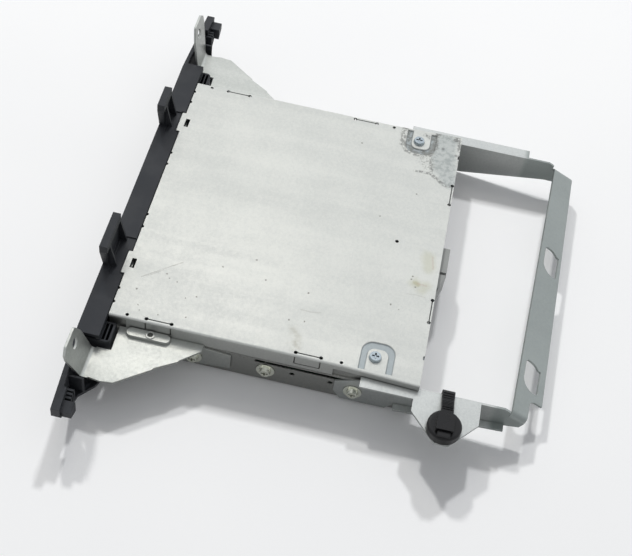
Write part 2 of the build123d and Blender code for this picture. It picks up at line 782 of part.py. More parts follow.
far_fold = bar_mid + Vector(0, bar_skew / 2, 0)
near_fold = bar_mid - Vector(0, bar_skew / 2, 0)
with BuildPart() as rear_bracket:
    add(strip.part)
    for side, fold_point, foot in (
        (-1, far_fold, [(y_case + arm_end[0], arm_end[1]), (y_case + arm_taper_y, arm_foot_z)]),
        (
            1,
            near_fold,
            [
                (y_case + near_foot_y[1], near_foot_z[1]),
                (y_case + near_foot_y[0], near_foot_z[0]),
                (y_case + near_foot_y[0] - 4.0, arm_foot_z),
            ],
        ),
    ):
        leg_top = fold_point - rise * bar_bend_r
        leg_end = leg_top + fold * (bar_width - (bar_relief if side > 0 else bar_spread * 2 / 3))
        leg_low = leg_end - rise * (bar_leg - bar_bend_r)
        with BuildSketch(Plane.YZ.offset(half_w if side > 0 else -arm_out)):
            outline(
                (y_case + arm_front, side_screw_z + 5.4),
                (y_case + arm_start, arm_top_z - 4.0),
                (y_case + arm_start, arm_top_z),
                (fold_point.Y - 4.0, arm_top_z),
                (fold_point.Y - 1.0, arm_top_z - 1.6),
                (leg_top.Y, leg_top.Z),
                (leg_end.Y, leg_end.Z),
                (leg_low.Y, leg_low.Z),
                *foot,
                (y_case + arm_front + 4.0, arm_foot_z),
                (y_case + arm_front, side_screw_z - 2.4),
            )
            with Locations((y_case + side_screw_y[2], side_screw_z)):
                Circle(screw_hole_d / 2, mode=Mode.SUBTRACT)
        extrude(amount=bracket_t)
    # Top flanges, and the side tab for the harness clip on the right arm
    with BuildSketch(Plane.XY.offset(arm_top_z - bracket_t)):
        for side, along, flange_end in (
            (1, Align.MIN, tab_y + tab_half),
            (-1, Align.MAX, arm_flange_end),
        ):
            with Locations((side * half_w, y_case + arm_start)):
                Rectangle(
                    bracket_t + arm_flange_w, flange_end - arm_start, align=(along, Align.MIN)
                )
        tab_root = arm_out + arm_flange_w - 1
        outline(
            (tab_root, y_case + tab_y - tab_half),
            (half_w + tab_shoulder, y_case + tab_y - tab_half),
            (half_w + tab_reach, y_case + tab_y - tab_tip_half),
            (half_w + tab_reach, y_case + tab_y + tab_tip_half),
            (half_w + tab_shoulder, y_case + tab_y + tab_half),
            (tab_root, y_case + tab_y + tab_half),
        )
        with Locations((clip_x, y_case + tab_y)):
            Circle(clip_hole_d / 2, mode=Mode.SUBTRACT)
    extrude(amount=bracket_t)
    # Lower flange of the right arm follows its sloping foot
    foot_rise = near_foot_z[1] - near_foot_z[0]
    with BuildSketch(Plane.YZ.offset(half_w)):
        outline(
            (y_case + near_foot_y[0], near_foot_z[0]),
            (y_case + near_foot_y[1], near_foot_z[1]),
            (y_case + near_foot_y[1], near_foot_z[1] + bracket_t),
            (y_case + near_foot_y[0], near_foot_z[0] + bracket_t),
        )
    extrude(amount=bracket_t + near_foot_w)
save(rear_bracket.part, "rear_bracket")

# Side screws: pan heads with a washer face, three on each side
side_seats = [
    (side * (half_w + (bracket_t if screw_y != side_screw_y[1] else 0)), y_case + screw_y, side_screw_z)
    for side in (-1, 1)
    for screw_y in side_screw_y
]
with BuildPart() as side_screws:
    for seat in side_seats:
        out = 1 if seat[0] > 0 else -1
        with BuildSketch(Plane(origin=seat, z_dir=(out, 0, 0))):
            Circle(washer_d / 2)
        extrude(amount=washer_t)
        with BuildSketch(Plane(origin=seat, z_dir=(out, 0, 0))):
            Circle(side_head_d / 2)
        extrude(amount=side_head_h + washer_t, taper=12)
        with BuildSketch(Plane(origin=seat, z_dir=(out, 0, 0)).offset(side_head_h + washer_t)):
            Rectangle(side_head_d * 0.55, recess_w)
            Rectangle(recess_w, side_head_d * 0.55)
        extrude(amount=-side_head_h / 2, mode=Mode.SUBTRACT)
        with BuildSketch(Plane(origin=seat, z_dir=(out, 0, 0))):
            Circle(screw_d / 2)
        extrude(amount=-side_screw_in)
save(side_screws.part, "side_screws")

# Cover screws stand on the cover inside their grooves
with BuildPart() as cover_screws:
    for side in (-1, 1):
        seat = Plane.XY.offset(case_h).move(Location((side * top_screw_x, y_case + top_screw_y, 0)))
        with BuildSketch(seat):
            Circle(top_head_d / 2)
        extrude(amount=top_head_h, taper=15)
        with BuildSketch(seat.offset(top_head_h)):
            Rectangle(top_head_d * 0.55, recess_w)
            Rectangle(recess_w, top_head_d * 0.55)
        extrude(amount=-top_head_h / 2, mode=Mode.SUBTRACT)
        with BuildSketch(seat):
            Circle(screw_d / 2 - run_gap)
        extrude(amount=-top_screw_in)
save(cover_screws.part, "cover_screws")

# Harness clip: a round body on the bracket's tab, and its strap over the arm's edge
with BuildPart() as clip_body:
    seat = Plane.XY.offset(arm_top_z).move(Location((clip_x, y_case + tab_y, 0)))
    with BuildSketch(seat):
        Circle(clip_r)
    extrude(amount=clip_h)
    fillet(clip_body.edges().group_by(Axis.Z)[-1], clip_edge)
    with BuildSketch(seat.offset(clip_h)):
        Rectangle(buckle[1], buckle[0])
    extrude(amount=buckle[2] - strap_t)
    with BuildSketch(seat.offset(clip_h)):
        Rectangle(buckle[1] + 2, strap_w + 2 * fold_gap)
    extrude(amount=strap_t + 2 * fold_gap, mode=Mode.SUBTRACT)
    with BuildSketch(seat):
        Circle(clip_stem_d / 2)
    extrude(amount=-bracket_t - 4.0)
    with BuildSketch(seat.offset(-bracket_t - 0.2)):
        Circle(clip_stem_d / 2 + 0.9)
    extrude(amount=-3.2, taper=20)
save(clip_body.part, "harness_clip_body")

strap_top = arm_top_z + clip_h + fold_gap
strap_edge = half_w - strap_t - fold_gap
with BuildPart() as clip_strap:
    with BuildSketch(Plane.XZ.offset(-(y_case + tab_y - strap_w / 2))):
        bent_sheet(
            [
                (clip_x + buckle[1] / 2 + 3.0, strap_top),
                (clip_x - clip_r + 1.0, strap_top),
                (strap_edge + 5.0, arm_top_z + fold_gap + 0.6),
                (strap_edge, arm_top_z + fold_gap + 0.6),
                (strap_edge, arm_top_z - 6.5),
            ],
            strap_t + 0.4,
            strap_t,
            Side.RIGHT,
        )
    extrude(amount=-strap_w)
save(clip_strap.part, "harness_clip_strap")

# Front trim: a moulded bar with swept wings, hooks on top and clips beside the housing
wing_low = case_h - wing_tip_h
plate_back = trim_y + trim_t
wing_span = trim_half - wing_start
case_face = y_case - case_clear
with BuildPart() as front_bezel:
    with BuildSketch(Plane.XY.offset(trim_foot)):
        outline(
            (-trim_half, trim_y),
            (trim_half, trim_y),
            (trim_half, trim_y + wing_sweep + wing_t[1]),
            (wing_thick_x, trim_y + wing_sweep * 0.7 + wing_t[1]),
            (wing_thick_x, trim_y + wing_sweep * 0.7 + wing_t[0]),
            (wing_start, plate_back),
            (-wing_start, plate_back),
            (-wing_thick_x, trim_y + wing_sweep * 0.7 + wing_t[0]),
            (-wing_thick_x, trim_y + wing_sweep * 0.7 + wing_t[1]),
            (-trim_half, trim_y + wing_sweep + wing_t[1]),
        )
    extrude(amount=case_h - trim_foot)
    # Shelf along the lower edge
    with BuildSketch(Plane.XZ.offset(-trim_y)):
        bent_sheet(
            [
                (-trim_half, wing_low),
                (-wing_start, trim_foot),
                (wing_start, trim_foot),
                (trim_half, wing_low),
            ],
            shelf_t + 1.0,
            shelf_t,
            Side.LEFT,
        )
    extrude(amount=-trim_reach - block_y)
    # Top ledge up to the housing, with pockets under the cover's tongues and dishes by the hooks
    with BuildSketch(Plane.YZ.offset(-ledge_half)):
        outline(
            (trim_y, case_h),
            (case_face, case_h),
            (case_face, case_h - ledge_rear_h),
            (case_face - shelf_t, case_h - ledge_rear_h),
            (case_face - shelf_t, case_h - shelf_t),
            (trim_y, case_h - shelf_t),
        )
    extrude(amount=2 * ledge_half)
    with BuildSketch(Plane.XY.offset(case_h)):
        with Locations(*both_sides(tongue_x, case_face)):
            Rectangle(tongue_w + 2 * pocket_room, 2 * (tongue_len - case_clear + pocket_room))
    extrude(amount=-pocket_deep, mode=Mode.SUBTRACT)
    with BuildSketch(Plane.XY.offset(case_h)):
        for hook_x, hook_w in hooks:
            with Locations((hook_x, case_face)):
                RectangleRounded(
                    hook_w + 2 * hook_dish[0], 2 * (case_face - trim_y - hook_t), hook_dish[2]
                )
    extrude(amount=-hook_dish[1], mode=Mode.SUBTRACT)
    # Clip blocks beside the housing, and posts and ribs in the wings
    with BuildSketch(Plane.XY.offset(block_z[0])) as blocks:
        for side, along in ((1, Align.MIN), (-1, Align.MAX)):
            with Locations((side * block_x[0], plate_back - 1)):
                Rectangle(
                    block_x[1] - block_x[0],
                    y_case + block_y - plate_back + 1,
                    align=(along, Align.MIN),
                )
        corners = blocks.vertices().sort_by(Axis.Y)[-4:]
        fillet(corners.sort_by(Axis.X)[0], block_round)
        fillet(blocks.vertices().sort_by(Axis.Y)[-3:].sort_by(Axis.X)[-1], block_round)
    extrude(amount=block_z[1] - block_z[0])
    with BuildSketch(Plane.XY.offset(block_z[1])):
        for row_y in block_slot_y:
            with Locations(*both_sides(sum(block_x) / 2, y_case + row_y)):
                Rectangle(block_x[1] - block_x[0] - 2 * block_wall, block_slot_w)
    extrude(amount=-block_deep, mode=Mode.SUBTRACT)
    with BuildSketch(Plane.XY.offset(trim_foot)):
        for rib_x in wing_rib_x:
            with Locations(*both_sides(rib_x, trim_y + wing_sweep)):
                Rectangle(rib_t, trim_reach, align=(Align.CENTER, Align.MIN))
    extrude(amount=wing_rib_z - trim_foot)
    with BuildSketch(Plane.XY.offset(trim_foot)):
        for side, along in ((1, Align.MIN), (-1, Align.MAX)):
            with Locations((side * wing_post[0], trim_y + wing_sweep)):
                Rectangle(
                    wing_post[1] - wing_post[0],
                    trim_reach + wing_post[2] - wing_sweep,
                    align=(along, Align.MIN),
                )
    extrude(amount=case_h - wing_post_drop - trim_foot)
    # Everything ends at one outline in plan
    with BuildSketch():
        edge = [
            (trim_straight, trim_y),
            (trim_half, trim_y + wing_sweep),
            (trim_half, y_case - 4.6),
            (wing_post[1], y_case - 4.6),
            (wing_post[1], y_case + wing_post[2]),
            (wing_post[0], y_case + wing_post[2]),
            (wing_post[0], y_case - 3.0),
            (wing_start + 0.55 * wing_span, y_case - 3.0),
            (wing_start + 0.29 * wing_span, y_case + 2.2),
            (wing_start, y_case + 4.0),
            (block_x[1], y_case + block_y),
            (block_x[0], y_case + block_y),
            (block_x[0], case_face),
        ]
        outline(*edge, *[(-x, y) for x, y in reversed(edge)])
    extrude(amount=case_h, mode=Mode.INTERSECT)
    # Lower edges rise toward the tips
    with BuildSketch(Plane.XZ.offset(-trim_y + 1)):
        for side in (-1, 1):
            outline(
                (side * wing_start, trim_foot),
                (side * (trim_half + 1), wing_low + (wing_low - trim_foot) / (trim_half - wing_start)),
                (side * (trim_half + 1), 0),
                (side * wing_start, 0),
            )
    extrude(amount=-trim_reach - block_y - 2, mode=Mode.SUBTRACT)
    # Ribs and screw bosses seated on the housing's front wall
    with BuildSketch(Plane.XZ.offset(-(plate_back - 0.5))):
        for rib_x in trim_rib_x:
            with Locations(*both_sides(rib_x, trim_foot + shelf_t / 2)):
                Rectangle(
                    rib_t,
                    case_h - 1.5 * shelf_t - trim_foot,
                    align=(Align.CENTER, Align.MIN),
                )
        with Locations(*both_sides(*trim_screw)):
            Circle(trim_boss_r)
    extrude(amount=-(y_case - plate_back + 0.5))
    with BuildSketch(Plane.XZ.offset(-y_case)):
        with Locations(*both_sides(*trim_screw)):
            Circle(screw_d / 2)
    extrude(amount=trim_screw_len, mode=Mode.SUBTRACT)
    # Posts for the switch board
    for step, (radius, reach) in enumerate(
        ((switch_post_r[0], -switch_board_y - switch_board[2]), (switch_post_r[1], -switch_board_y + 0.5))
    ):
        with BuildSketch(Plane.XZ.offset(-(plate_back - 0.5))):
            with Locations(*switch_posts):
                Circle(radius)
        extrude(amount=-(y_case + reach - plate_back + 0.5))
    # Hooks: a head on a stem that narrows downward, with two ribs behind it
    hook_top = case_h + hook_up
    hook_foot = case_h - shelf_t / 2
    for hook_x, hook_w in hooks:
        far_x, near_x = hook_x - hook_w / 2, hook_x + hook_w / 2
        with BuildSketch(Plane.XZ.offset(-trim_y)):
            outline(
                (far_x, hook_foot),
                (far_x, hook_top),
                (near_x, hook_top),
                (near_x, hook_top - hook_head),
                (near_x - hook_cut, hook_foot),
            )
        extrude(amount=-hook_t + 1.2)
        with BuildSketch(Plane.XZ.offset(-trim_y)):
            with Locations((hook_x, hook_top)):
                Rectangle(hook_w, hook_head, align=(Align.CENTER, Align.MAX))
        extrude(amount=-hook_t)
        for rib_x in (far_x, near_x - hook_cut - rib_t):
            with BuildSketch(Plane.YZ.offset(rib_x)):
                outline(
                    (trim_y + 1, hook_foot),
                    (trim_y + 1, hook_top - hook_head),
                    (trim_y + hook_t, hook_top - hook_head),
                    (trim_y + hook_t + 3.2, hook_foot),
                )
            extrude(amount=rib_t)
    # Disc slot with a chamfered mouth, and the button's hole
    with BuildSketch(Plane.XZ.offset(-trim_y)):
        with Locations((0, slot_z)):
            RectangleRounded(slot_w, slot_h, slot_h / 2 - 0.1)
        with Locations((button_x, slot_z)):
            RectangleRounded(button_w + 2 * button_gap, button_h + 2 * button_gap, 1.2)
    extrude(amount=-trim_t, mode=Mode.SUBTRACT)
    front_edges = front_bezel.edges().filter_by_position(Axis.Y, trim_y - 0.01, trim_y + 0.01)
    mouth = front_edges.filter_by_position(Axis.Z, slot_z - slot_h / 2, slot_z + slot_h / 2)
    chamfer([e for e in mouth if abs(e.center().X) < slot_w / 2 + 0.1], slot_lead)
save(front_bezel.part, "front_bezel")

# Screws that hold the trim, driven from inside the housing
with BuildPart() as trim_screws:
    with BuildSketch(Plane.XZ.offset(-(y_case + sheet))):
        with Locations(*both_sides(*trim_screw)):
            Circle(trim_head[0])
    extrude(amount=-trim_head[1])
    with BuildSketch(Plane.XZ.offset(-(y_case + sheet))):
        with Locations(*both_sides(*trim_screw)):
            Circle(screw_d / 2 - run_gap)
    extrude(amount=trim_screw_len - 0.5)
save(trim_screws.part, "trim_screws")

# Dust lips behind the slot
with BuildPart() as dust_lips:
    with BuildSketch(Plane.XZ.offset(-plate_back)):
        for end, along in ((1, Align.MIN), (-1, Align.MAX)):
            with Locations((0, slot_z + end * lip_gap / 2)):
                Rectangle(slot_w + 2 * lip_over, lip_h, align=(Align.CENTER, along))
    extrude(amount=-lip_t)
save(dust_lips.part, "dust_lips")

# Switch board behind the button
board_face = y_case - switch_board_y - switch_board[2]
with BuildPart() as eject_switch:
    with BuildSketch(Plane.XZ.offset(-board_face)):
        with Locations((button_x, slot_z)):
            Rectangle(switch_board[0], switch_board[1])
        with Locations(*switch_posts):
            Circle(switch_post_r[1], mode=Mode.SUBTRACT)
    extrude(amount=-switch_board[2])
    with BuildSketch(Plane.XZ.offset(-board_face)):
        with Locations((button_x, slot_z)):
            Rectangle(6, 6)
    extrude(amount=switch_h)
    with BuildSketch(Plane.XZ.offset(-board_face)):
        with Locations((button_x, slot_z)):
            Circle(1.7)
    extrude(amount=switch_h + plunger_h)
save(eject_switch.part, "eject_switch")

# Eject button: cap, retaining flange and stem
with BuildPart() as eject_button:
    with BuildSketch(Plane.XZ.offset(-(trim_y + button_recess))):
        with Locations((button_x, slot_z)):
            RectangleRounded(button_w, button_h, 1.0)
    extrude(amount=-(trim_t - button_recess + 0.1))
    fillet(eject_button.edges().group_by(Axis.Y)[0], 0.5)
    with BuildSketch(Plane.XZ.offset(-(plate_back + 0.1))):
        with Locations((button_x, slot_z)):
            RectangleRounded(button_w + 2.0, button_h + 1.4, 1.0)
    extrude(amount=-1.2)
    with BuildSketch(Plane.XZ.offset(-(plate_back + 0.1))):
        with Locations((button_x, slot_z)):
            Circle(1.8)
    extrude(amount=-(board_face - switch_h - plunger_h - button_travel - 0.1 - plate_back - 0.1))
save(eject_button.part, "eject_button")

# Rear connector with an open socket, standing on the main board
socket_y = y_rear + connector_out
connector_end = connector_x + connector_w / 2
socket_x = connector_x - connector_slant[0] / 2
socket_w = connector_w - connector_slant[0] - 2 * socket_wall - 1.6
with BuildPart() as rear_connector:
    with BuildSketch(Plane.XZ.offset(-(y_rear - connector_in))):
        with Locations((connector_x, connector_z)):
            Rectangle(connector_w, connector_h)
    extrude(amount=-connector_in - connector_out)
    chamfer(rear_connector.edges().filter_by(Axis.Y).group_by(Axis.Z)[-1], 1.6)
    # One end slants back to the rear wall, beside a keying notch
    with BuildSketch(Plane.XY.offset(connector_z - connector_h)):
        outline(
            (connector_end - connector_slant[0], socket_y + 1),
            (connector_end - connector_slant[0], socket_y),
            (connector_end, socket_y - connector_slant[1]),
            (connector_end + 1, socket_y - connector_slant[1]),
            (connector_end + 1, socket_y + 1),
        )
    extrude(amount=2 * connector_h, mode=Mode.SUBTRACT)
    with BuildSketch(Plane.XZ.offset(-socket_y)):
        with Locations((connector_end - connector_slant[0] - 1.0, connector_z + connector_h / 2)):
            Rectangle(1.6, 2.4)
    extrude(amount=connector_out - 0.5, mode=Mode.SUBTRACT)
    with BuildSketch(Plane.XZ.offset(-socket_y)):
        with Locations((socket_x, connector_z)):
            Rectangle(socket_w, connector_h - 2 * socket_wall)
    extrude(amount=socket_deep, mode=Mode.SUBTRACT)
    with BuildSketch(Plane.XY.offset(board_top)):
        with Locations((connector_x, y_rear - connector_in)):
            Rectangle(connector_w - 4, connector_in - 5.0, align=(Align.CENTER, Align.MIN))
    extrude(amount=connector_z - connector_h / 2 - board_top)
save(rear_connector.part, "rear_connector")

with BuildPart() as connector_pins:
    with BuildSketch(Plane.XZ.offset(-(socket_y - socket_deep))):
        for row_z in pin_rows_z:
            with Locations((socket_x, connector_z + row_z)):
                with GridLocations(pin_pitch, 0, pin_cols, 1):
                    Rectangle(pin_size, pin_size)
    extrude(amount=-pin_len)
save(connector_pins.part, "connector_pins")

# Main board on its stand-offs, with its screws and parts
with BuildPart() as main_board:
    with BuildSketch(Plane.XY.offset(board_z)):
        with Locations((0, y_case + board_y[0])):
            Rectangle(2 * board_half_w, board_y[1] - board_y[0], align=(Align.CENTER, Align.MIN))
        with Locations(*[at for at in dampers if at[1] > y_case + board_y[0]]):
            Circle(damper_r[1] + 1.0, mode=Mode.SUBTRACT)
        with Locations(*both_sides(top_screw_x, y_case + top_screw_y)):
            Circle(post_hole_r, mode=Mode.SUBTRACT)
        with Locations(*board_points):
            Circle(1.1, mode=Mode.SUBTRACT)
    extrude(amount=board_t)
save(main_board.part, "main_board")

with BuildPart() as board_screws:
    with BuildSketch(Plane.XY.offset(board_top)):
        with Locations(*board_points):
            Circle(2.0)
    extrude(amount=1.2)
    with BuildSketch(Plane.XY.offset(board_top)):
        with Locations(*board_points):
            Circle(1.0 - run_gap)
    extrude(amount=-board_t - 1.4)
save(board_screws.part, "board_screws")

with BuildPart() as board_chips:
    with BuildSketch(Plane.XY.offset(board_top)):
        for chip_x, chip_y, chip_w, chip_l in chips:
            with Locations((chip_x, y_case + chip_y)):
                Rectangle(chip_w, chip_l)
    extrude(amount=chip_h)
save(board_chips.part, "board_chips")

with BuildPart() as capacitors:
    with BuildSketch(Plane.XY.offset(board_top)):
        with Locations(*[(x, y_case + y) for x, y in capacitor_at]):
            Circle(capacitor[0])
    extrude(amount=capacitor[1])
save(capacitors.part, "capacitors")

# Upper disc guide on the front wall
with BuildPart() as disc_guide:
    with BuildSketch(Plane.YZ.offset(-guide_half)):
        outline(
            (y_case + sheet, lip_top - 1.0),
            (y_case + sheet, guide_z),
            (y_case + guide_depth, guide_z),
            (y_case + guide_depth + 1.0, guide_z + 1.0),
            (y_case + guide_depth + 1.0, guide_z + loader_t),
            (y_case + sheet + loader_t, guide_z + loader_t),
            (y_case + sheet + loader_t, lip_top - 1.0),
        )
    extrude(amount=2 * guide_half)
save(disc_guide.part, "disc_guide")

# Loading unit: a swinging frame with the motor, three gears and the roller
idler_at, idler_phase = next_gear(roller_at, roller_teeth, 0, idler_teeth, idler_z)
pinion_at, pinion_phase = next_gear(idler_at, idler_teeth, idler_phase, pinion_teeth, pinion_z)
mount_x = gear_x - gear_side - loader_t
with BuildPart() as loader_frame:
    with BuildSketch(Plane.XY.offset(loader_floor)):
        outline(
            (-loader_half, roller_at[0] + 6.0),
            (-loader_half, loader_y + lug_r),
            (loader_half, loader_y + lug_r),
            (loader_half, pinion_at[0] - 1.0),
            (mount_x + loader_t, pinion_at[0] - 1.0),
            (mount_x + loader_t, roller_at[0] + 6.0),
        )
    extrude(amount=loader_t)
    with BuildSketch(Plane.YZ.offset(loader_half - loader_t)) as cheek:
        outline(
            (roller_at[0] - 3.0, roller_z - 2.4),
            (roller_at[0] - 3.0, roller_z + 2.4),
            (roller_at[0] + 3.0, roller_z + 2.8),
            (loader_y + lug_r, loader_pivot_z + 4.0),
            (loader_y + lug_r, loader_floor),
            (roller_at[0] + 9.0, loader_floor),
        )
        with Locations(roller_at):
            Circle(roller_shaft_d / 2 + run_gap, mode=Mode.SUBTRACT)
        with Locations((loader_y, loader_pivot_z)):
            Circle(pivot_pin_d / 2 + run_gap, mode=Mode.SUBTRACT)
    extrude(amount=loader_t)
    extrude(cheek.sketch.moved(Location((loader_t - 2 * loader_half, 0, 0))), amount=loader_t)
    # Motor mount and the idler's pin
    with BuildSketch(Plane.YZ.offset(mount_x)):
        with Locations((pinion_at[0], loader_floor + loader_t / 2)):
            Rectangle(
                2 * loading_motor[1],
                pinion_z + loading_motor[1] - loader_floor - loader_t / 2,
                align=(Align.CENTER, Align.MIN),
            )
        with Locations(pinion_at):
            Circle(motor_shaft_d / 2 + run_gap, mode=Mode.SUBTRACT)
    extrude(amount=loader_t)
    with BuildSketch(Plane.YZ.offset(gear_x - gear_side / 2)):
        with Locations(idler_at):
            Circle(idler_pin_d / 2)
    extrude(amount=loader_half - gear_x)
save(loader_frame.part, "loader_frame")

with BuildPart() as loading_motor_can:
    with BuildSketch(Plane.YZ.offset(mount_x)):
        with Locations(pinion_at):
            Circle(loading_motor[1])
            Rectangle(
                2 * loading_motor[1], 2 * loading_motor[1] - 1.6, mode=Mode.INTERSECT
            )
    extrude(amount=-loading_motor[0])
    with BuildSketch(Plane.YZ.offset(mount_x)):
        with Locations(pinion_at):
            Circle(motor_shaft_d / 2 + run_gap)
    extrude(amount=-4, mode=Mode.SUBTRACT)
save(loading_motor_can.part, "loading_motor")

with BuildPart() as motor_pinion:
    with BuildSketch(Plane.YZ.offset(gear_x)):
        gear_face(pinion_at, pinion_teeth, pinion_phase, motor_shaft_d / 4)
    extrude(amount=gear_w)
    with BuildSketch(Plane.YZ.offset(mount_x - 3.5)):
        with Locations(pinion_at):
            Circle(motor_shaft_d / 2)
    extrude(amount=gear_x + gear_w - mount_x + 3.5)
save(motor_pinion.part, "motor_pinion")

with BuildPart() as idler_gear:
    with BuildSketch(Plane.YZ.offset(gear_x)):
        gear_face(idler_at, idler_teeth, idler_phase, idler_pin_d / 2 + run_gap)
    extrude(amount=gear_w)
save(idler_gear.part, "idler_gear")

with BuildPart() as roller_gear:
    with BuildSketch(Plane.YZ.offset(gear_x)):
        gear_face(roller_at, roller_teeth, 0, roller_shaft_d / 2)
    extrude(amount=gear_w)
save(roller_gear.part, "roller_gear")

with BuildPart() as roller_shaft:
    with BuildSketch(Plane.YZ.offset(-loader_half)):
        with Locations(roller_at):
            Circle(roller_shaft_d / 2)
    extrude(amount=2 * loader_half)
save(roller_shaft.part, "roller_shaft")

# Rubber roller, slimmer in the middle
with BuildPart() as loading_roller:
    with BuildSketch(Plane.XY.offset(roller_z)):
        outline(
            (-roller_half, roller_at[0] + roller_shaft_d / 2),
            (-roller_half, roller_at[0] + roller_r),
            (0, roller_at[0] + roller_r - roller_waist),
            (roller_half, roller_at[0] + roller_r),
            (roller_half, roller_at[0] + roller_shaft_d / 2),
        )
    revolve(axis=Axis((0, roller_at[0], roller_z), (1, 0, 0)))
save(loading_roller.part, "loading_roller")

# Floating deck with windows for the pickup and its motor, rod holders and clamp ears
lead_at = (disc_y + lead_y, lead_z)
deck_holes = [(x, y_case + y) for x, y in deck_hole_at]
rods = [disc_y - rod_offset, disc_y + rod_offset]
ear_x = clamp_half[0] + fold_gap
with BuildPart() as deck:
    with BuildSketch(Plane.XY.offset(deck_z)) as deck_face:
        with Locations((0, y_case + deck_y[0])):
            Rectangle(2 * deck_half_w, deck_y[1] - deck_y[0], align=(Align.CENTER, Align.MIN))
        fillet(deck_face.vertices(), 4.0)
        with Locations((window_x[0], disc_y - window_half)):
            Rectangle(
                window_x[1] - window_x[0],
                window_half + lead_y + nut_gap + 3.1,
                align=(Align.MIN, Align.MIN),
                mode=Mode.SUBTRACT,
            )
        with Locations((sled_motor_x, lead_at[0])):
            Rectangle(*sled_motor[:2], align=(Align.MAX, Align.CENTER), mode=Mode.SUBTRACT)
            Rectangle(
                window_x[0] - sled_motor_x,
                lead_d + 1.0,
                align=(Align.MIN, Align.CENTER),
                mode=Mode.SUBTRACT,
            )
        with Locations((0, disc_y)):
            Circle(shaft_d + 1.0, mode=Mode.SUBTRACT)
        with Locations(*deck_holes):
            Circle(3.0, mode=Mode.SUBTRACT)
    extrude(amount=deck_t)
    for holder_x in (window_x[0] - holder_t, window_x[1]):
        with BuildSketch(Plane.YZ.offset(holder_x)):
            with Locations(*[(rod, deck_z + deck_t / 2) for rod in rods]):
                Rectangle(
                    2 * holder_t,
                    deck_z + deck_t / 2 - rod_z + rod_boss_r,
                    align=(Align.CENTER, Align.MAX),
                )
        extrude(amount=holder_t)
    with BuildSketch(Plane.YZ.offset(window_x[1])):
        with Locations(lead_at):
            Rectangle(2 * holder_t, lead_d + 2.4)
    extrude(amount=holder_t)
    # Bores for the rods and the lead screw
    with BuildSketch(Plane.YZ.offset(window_x[0] - holder_t)):
        with Locations(*[(rod, rod_z) for rod in rods]):
            Circle(rod_d / 2)
    extrude(amount=window_x[1] - window_x[0] + 2 * holder_t, mode=Mode.SUBTRACT)
    with BuildSketch(Plane.YZ.offset(window_x[1])):
        with Locations(lead_at):
            Circle(lead_d / 2 + run_gap)
    extrude(amount=holder_t, mode=Mode.SUBTRACT)
    # Clamp ears with their pins
    for side in (-1, 1):
        clamp_plane = Plane(
            origin=(side * ear_x, y_case + clamp_pivot_y, 0), x_dir=(0, side, 0), z_dir=(side, 0, 0)
        )
        with BuildSketch(clamp_plane):
            with Locations((0, deck_z)):
                Rectangle(2 * clamp_ear, clamp_pivot_z - deck_z, align=(Align.CENTER, Align.MIN))
            with Locations((0, clamp_pivot_z)):
                Circle(clamp_ear)
        extrude(amount=deck_t)
        with BuildSketch(clamp_plane):
            with Locations((0, clamp_pivot_z)):
                Circle(clamp_pin_d / 2)
        extrude(amount=-clamp_t - 2 * fold_gap)
save(deck.part, "deck")

with BuildPart() as damper_bushes:
    with BuildSketch(Plane.XY.offset(sheet)):
        with Locations(*dampers):
            Circle(damper_r[1])
            Circle(damper_r[0], mode=Mode.SUBTRACT)
    extrude(amount=deck_z - sheet)
save(damper_bushes.part, "damper_bushes")

with BuildPart() as spindle_motor:
    with BuildSketch(Plane.XY.offset(deck_z)):
        with Locations((0, disc_y)):
            Circle(motor_r)
    extrude(amount=-motor_h)
    with BuildSketch(Plane.XY.offset(deck_z)):
        with Locations((0, disc_y)):
            Circle(shaft_d)
    extrude(amount=deck_t)
    with Locations((0, disc_y, deck_z + deck_t)):
        Hole(shaft_d / 2 + run_gap, depth=deck_t + motor_h - 0.6)
save(spindle_motor.part, "spindle_motor")

with BuildPart() as turntable:
    with BuildSketch(Plane.XY.offset(disc_plane_z)):
        with Locations((0, disc_y)):
            Circle(turntable_r)
    extrude(amount=-turntable_t)
    with BuildSketch(Plane.XY.offset(disc_plane_z)):
        with Locations((0, disc_y)):
            Circle(hub_r)
    extrude(amount=hub_h)
    chamfer(turntable.edges().group_by(Axis.Z)[-1], 0.6)
    with BuildSketch(Plane.XY.offset(disc_plane_z - turntable_t)):
        with Locations((0, disc_y)):
            Circle(shaft_d / 2)
    extrude(amount=-(disc_plane_z - turntable_t - deck_z + motor_h - 0.9))
save(turntable.part, "turntable")

with BuildPart() as guide_rods:
    with BuildSketch(Plane.YZ.offset(window_x[0] - holder_t)):
        with Locations(*[(rod, rod_z) for rod in rods]):
            Circle(rod_d / 2)
    extrude(amount=window_x[1] - window_x[0] + 2 * holder_t)
save(guide_rods.part, "guide_rods")

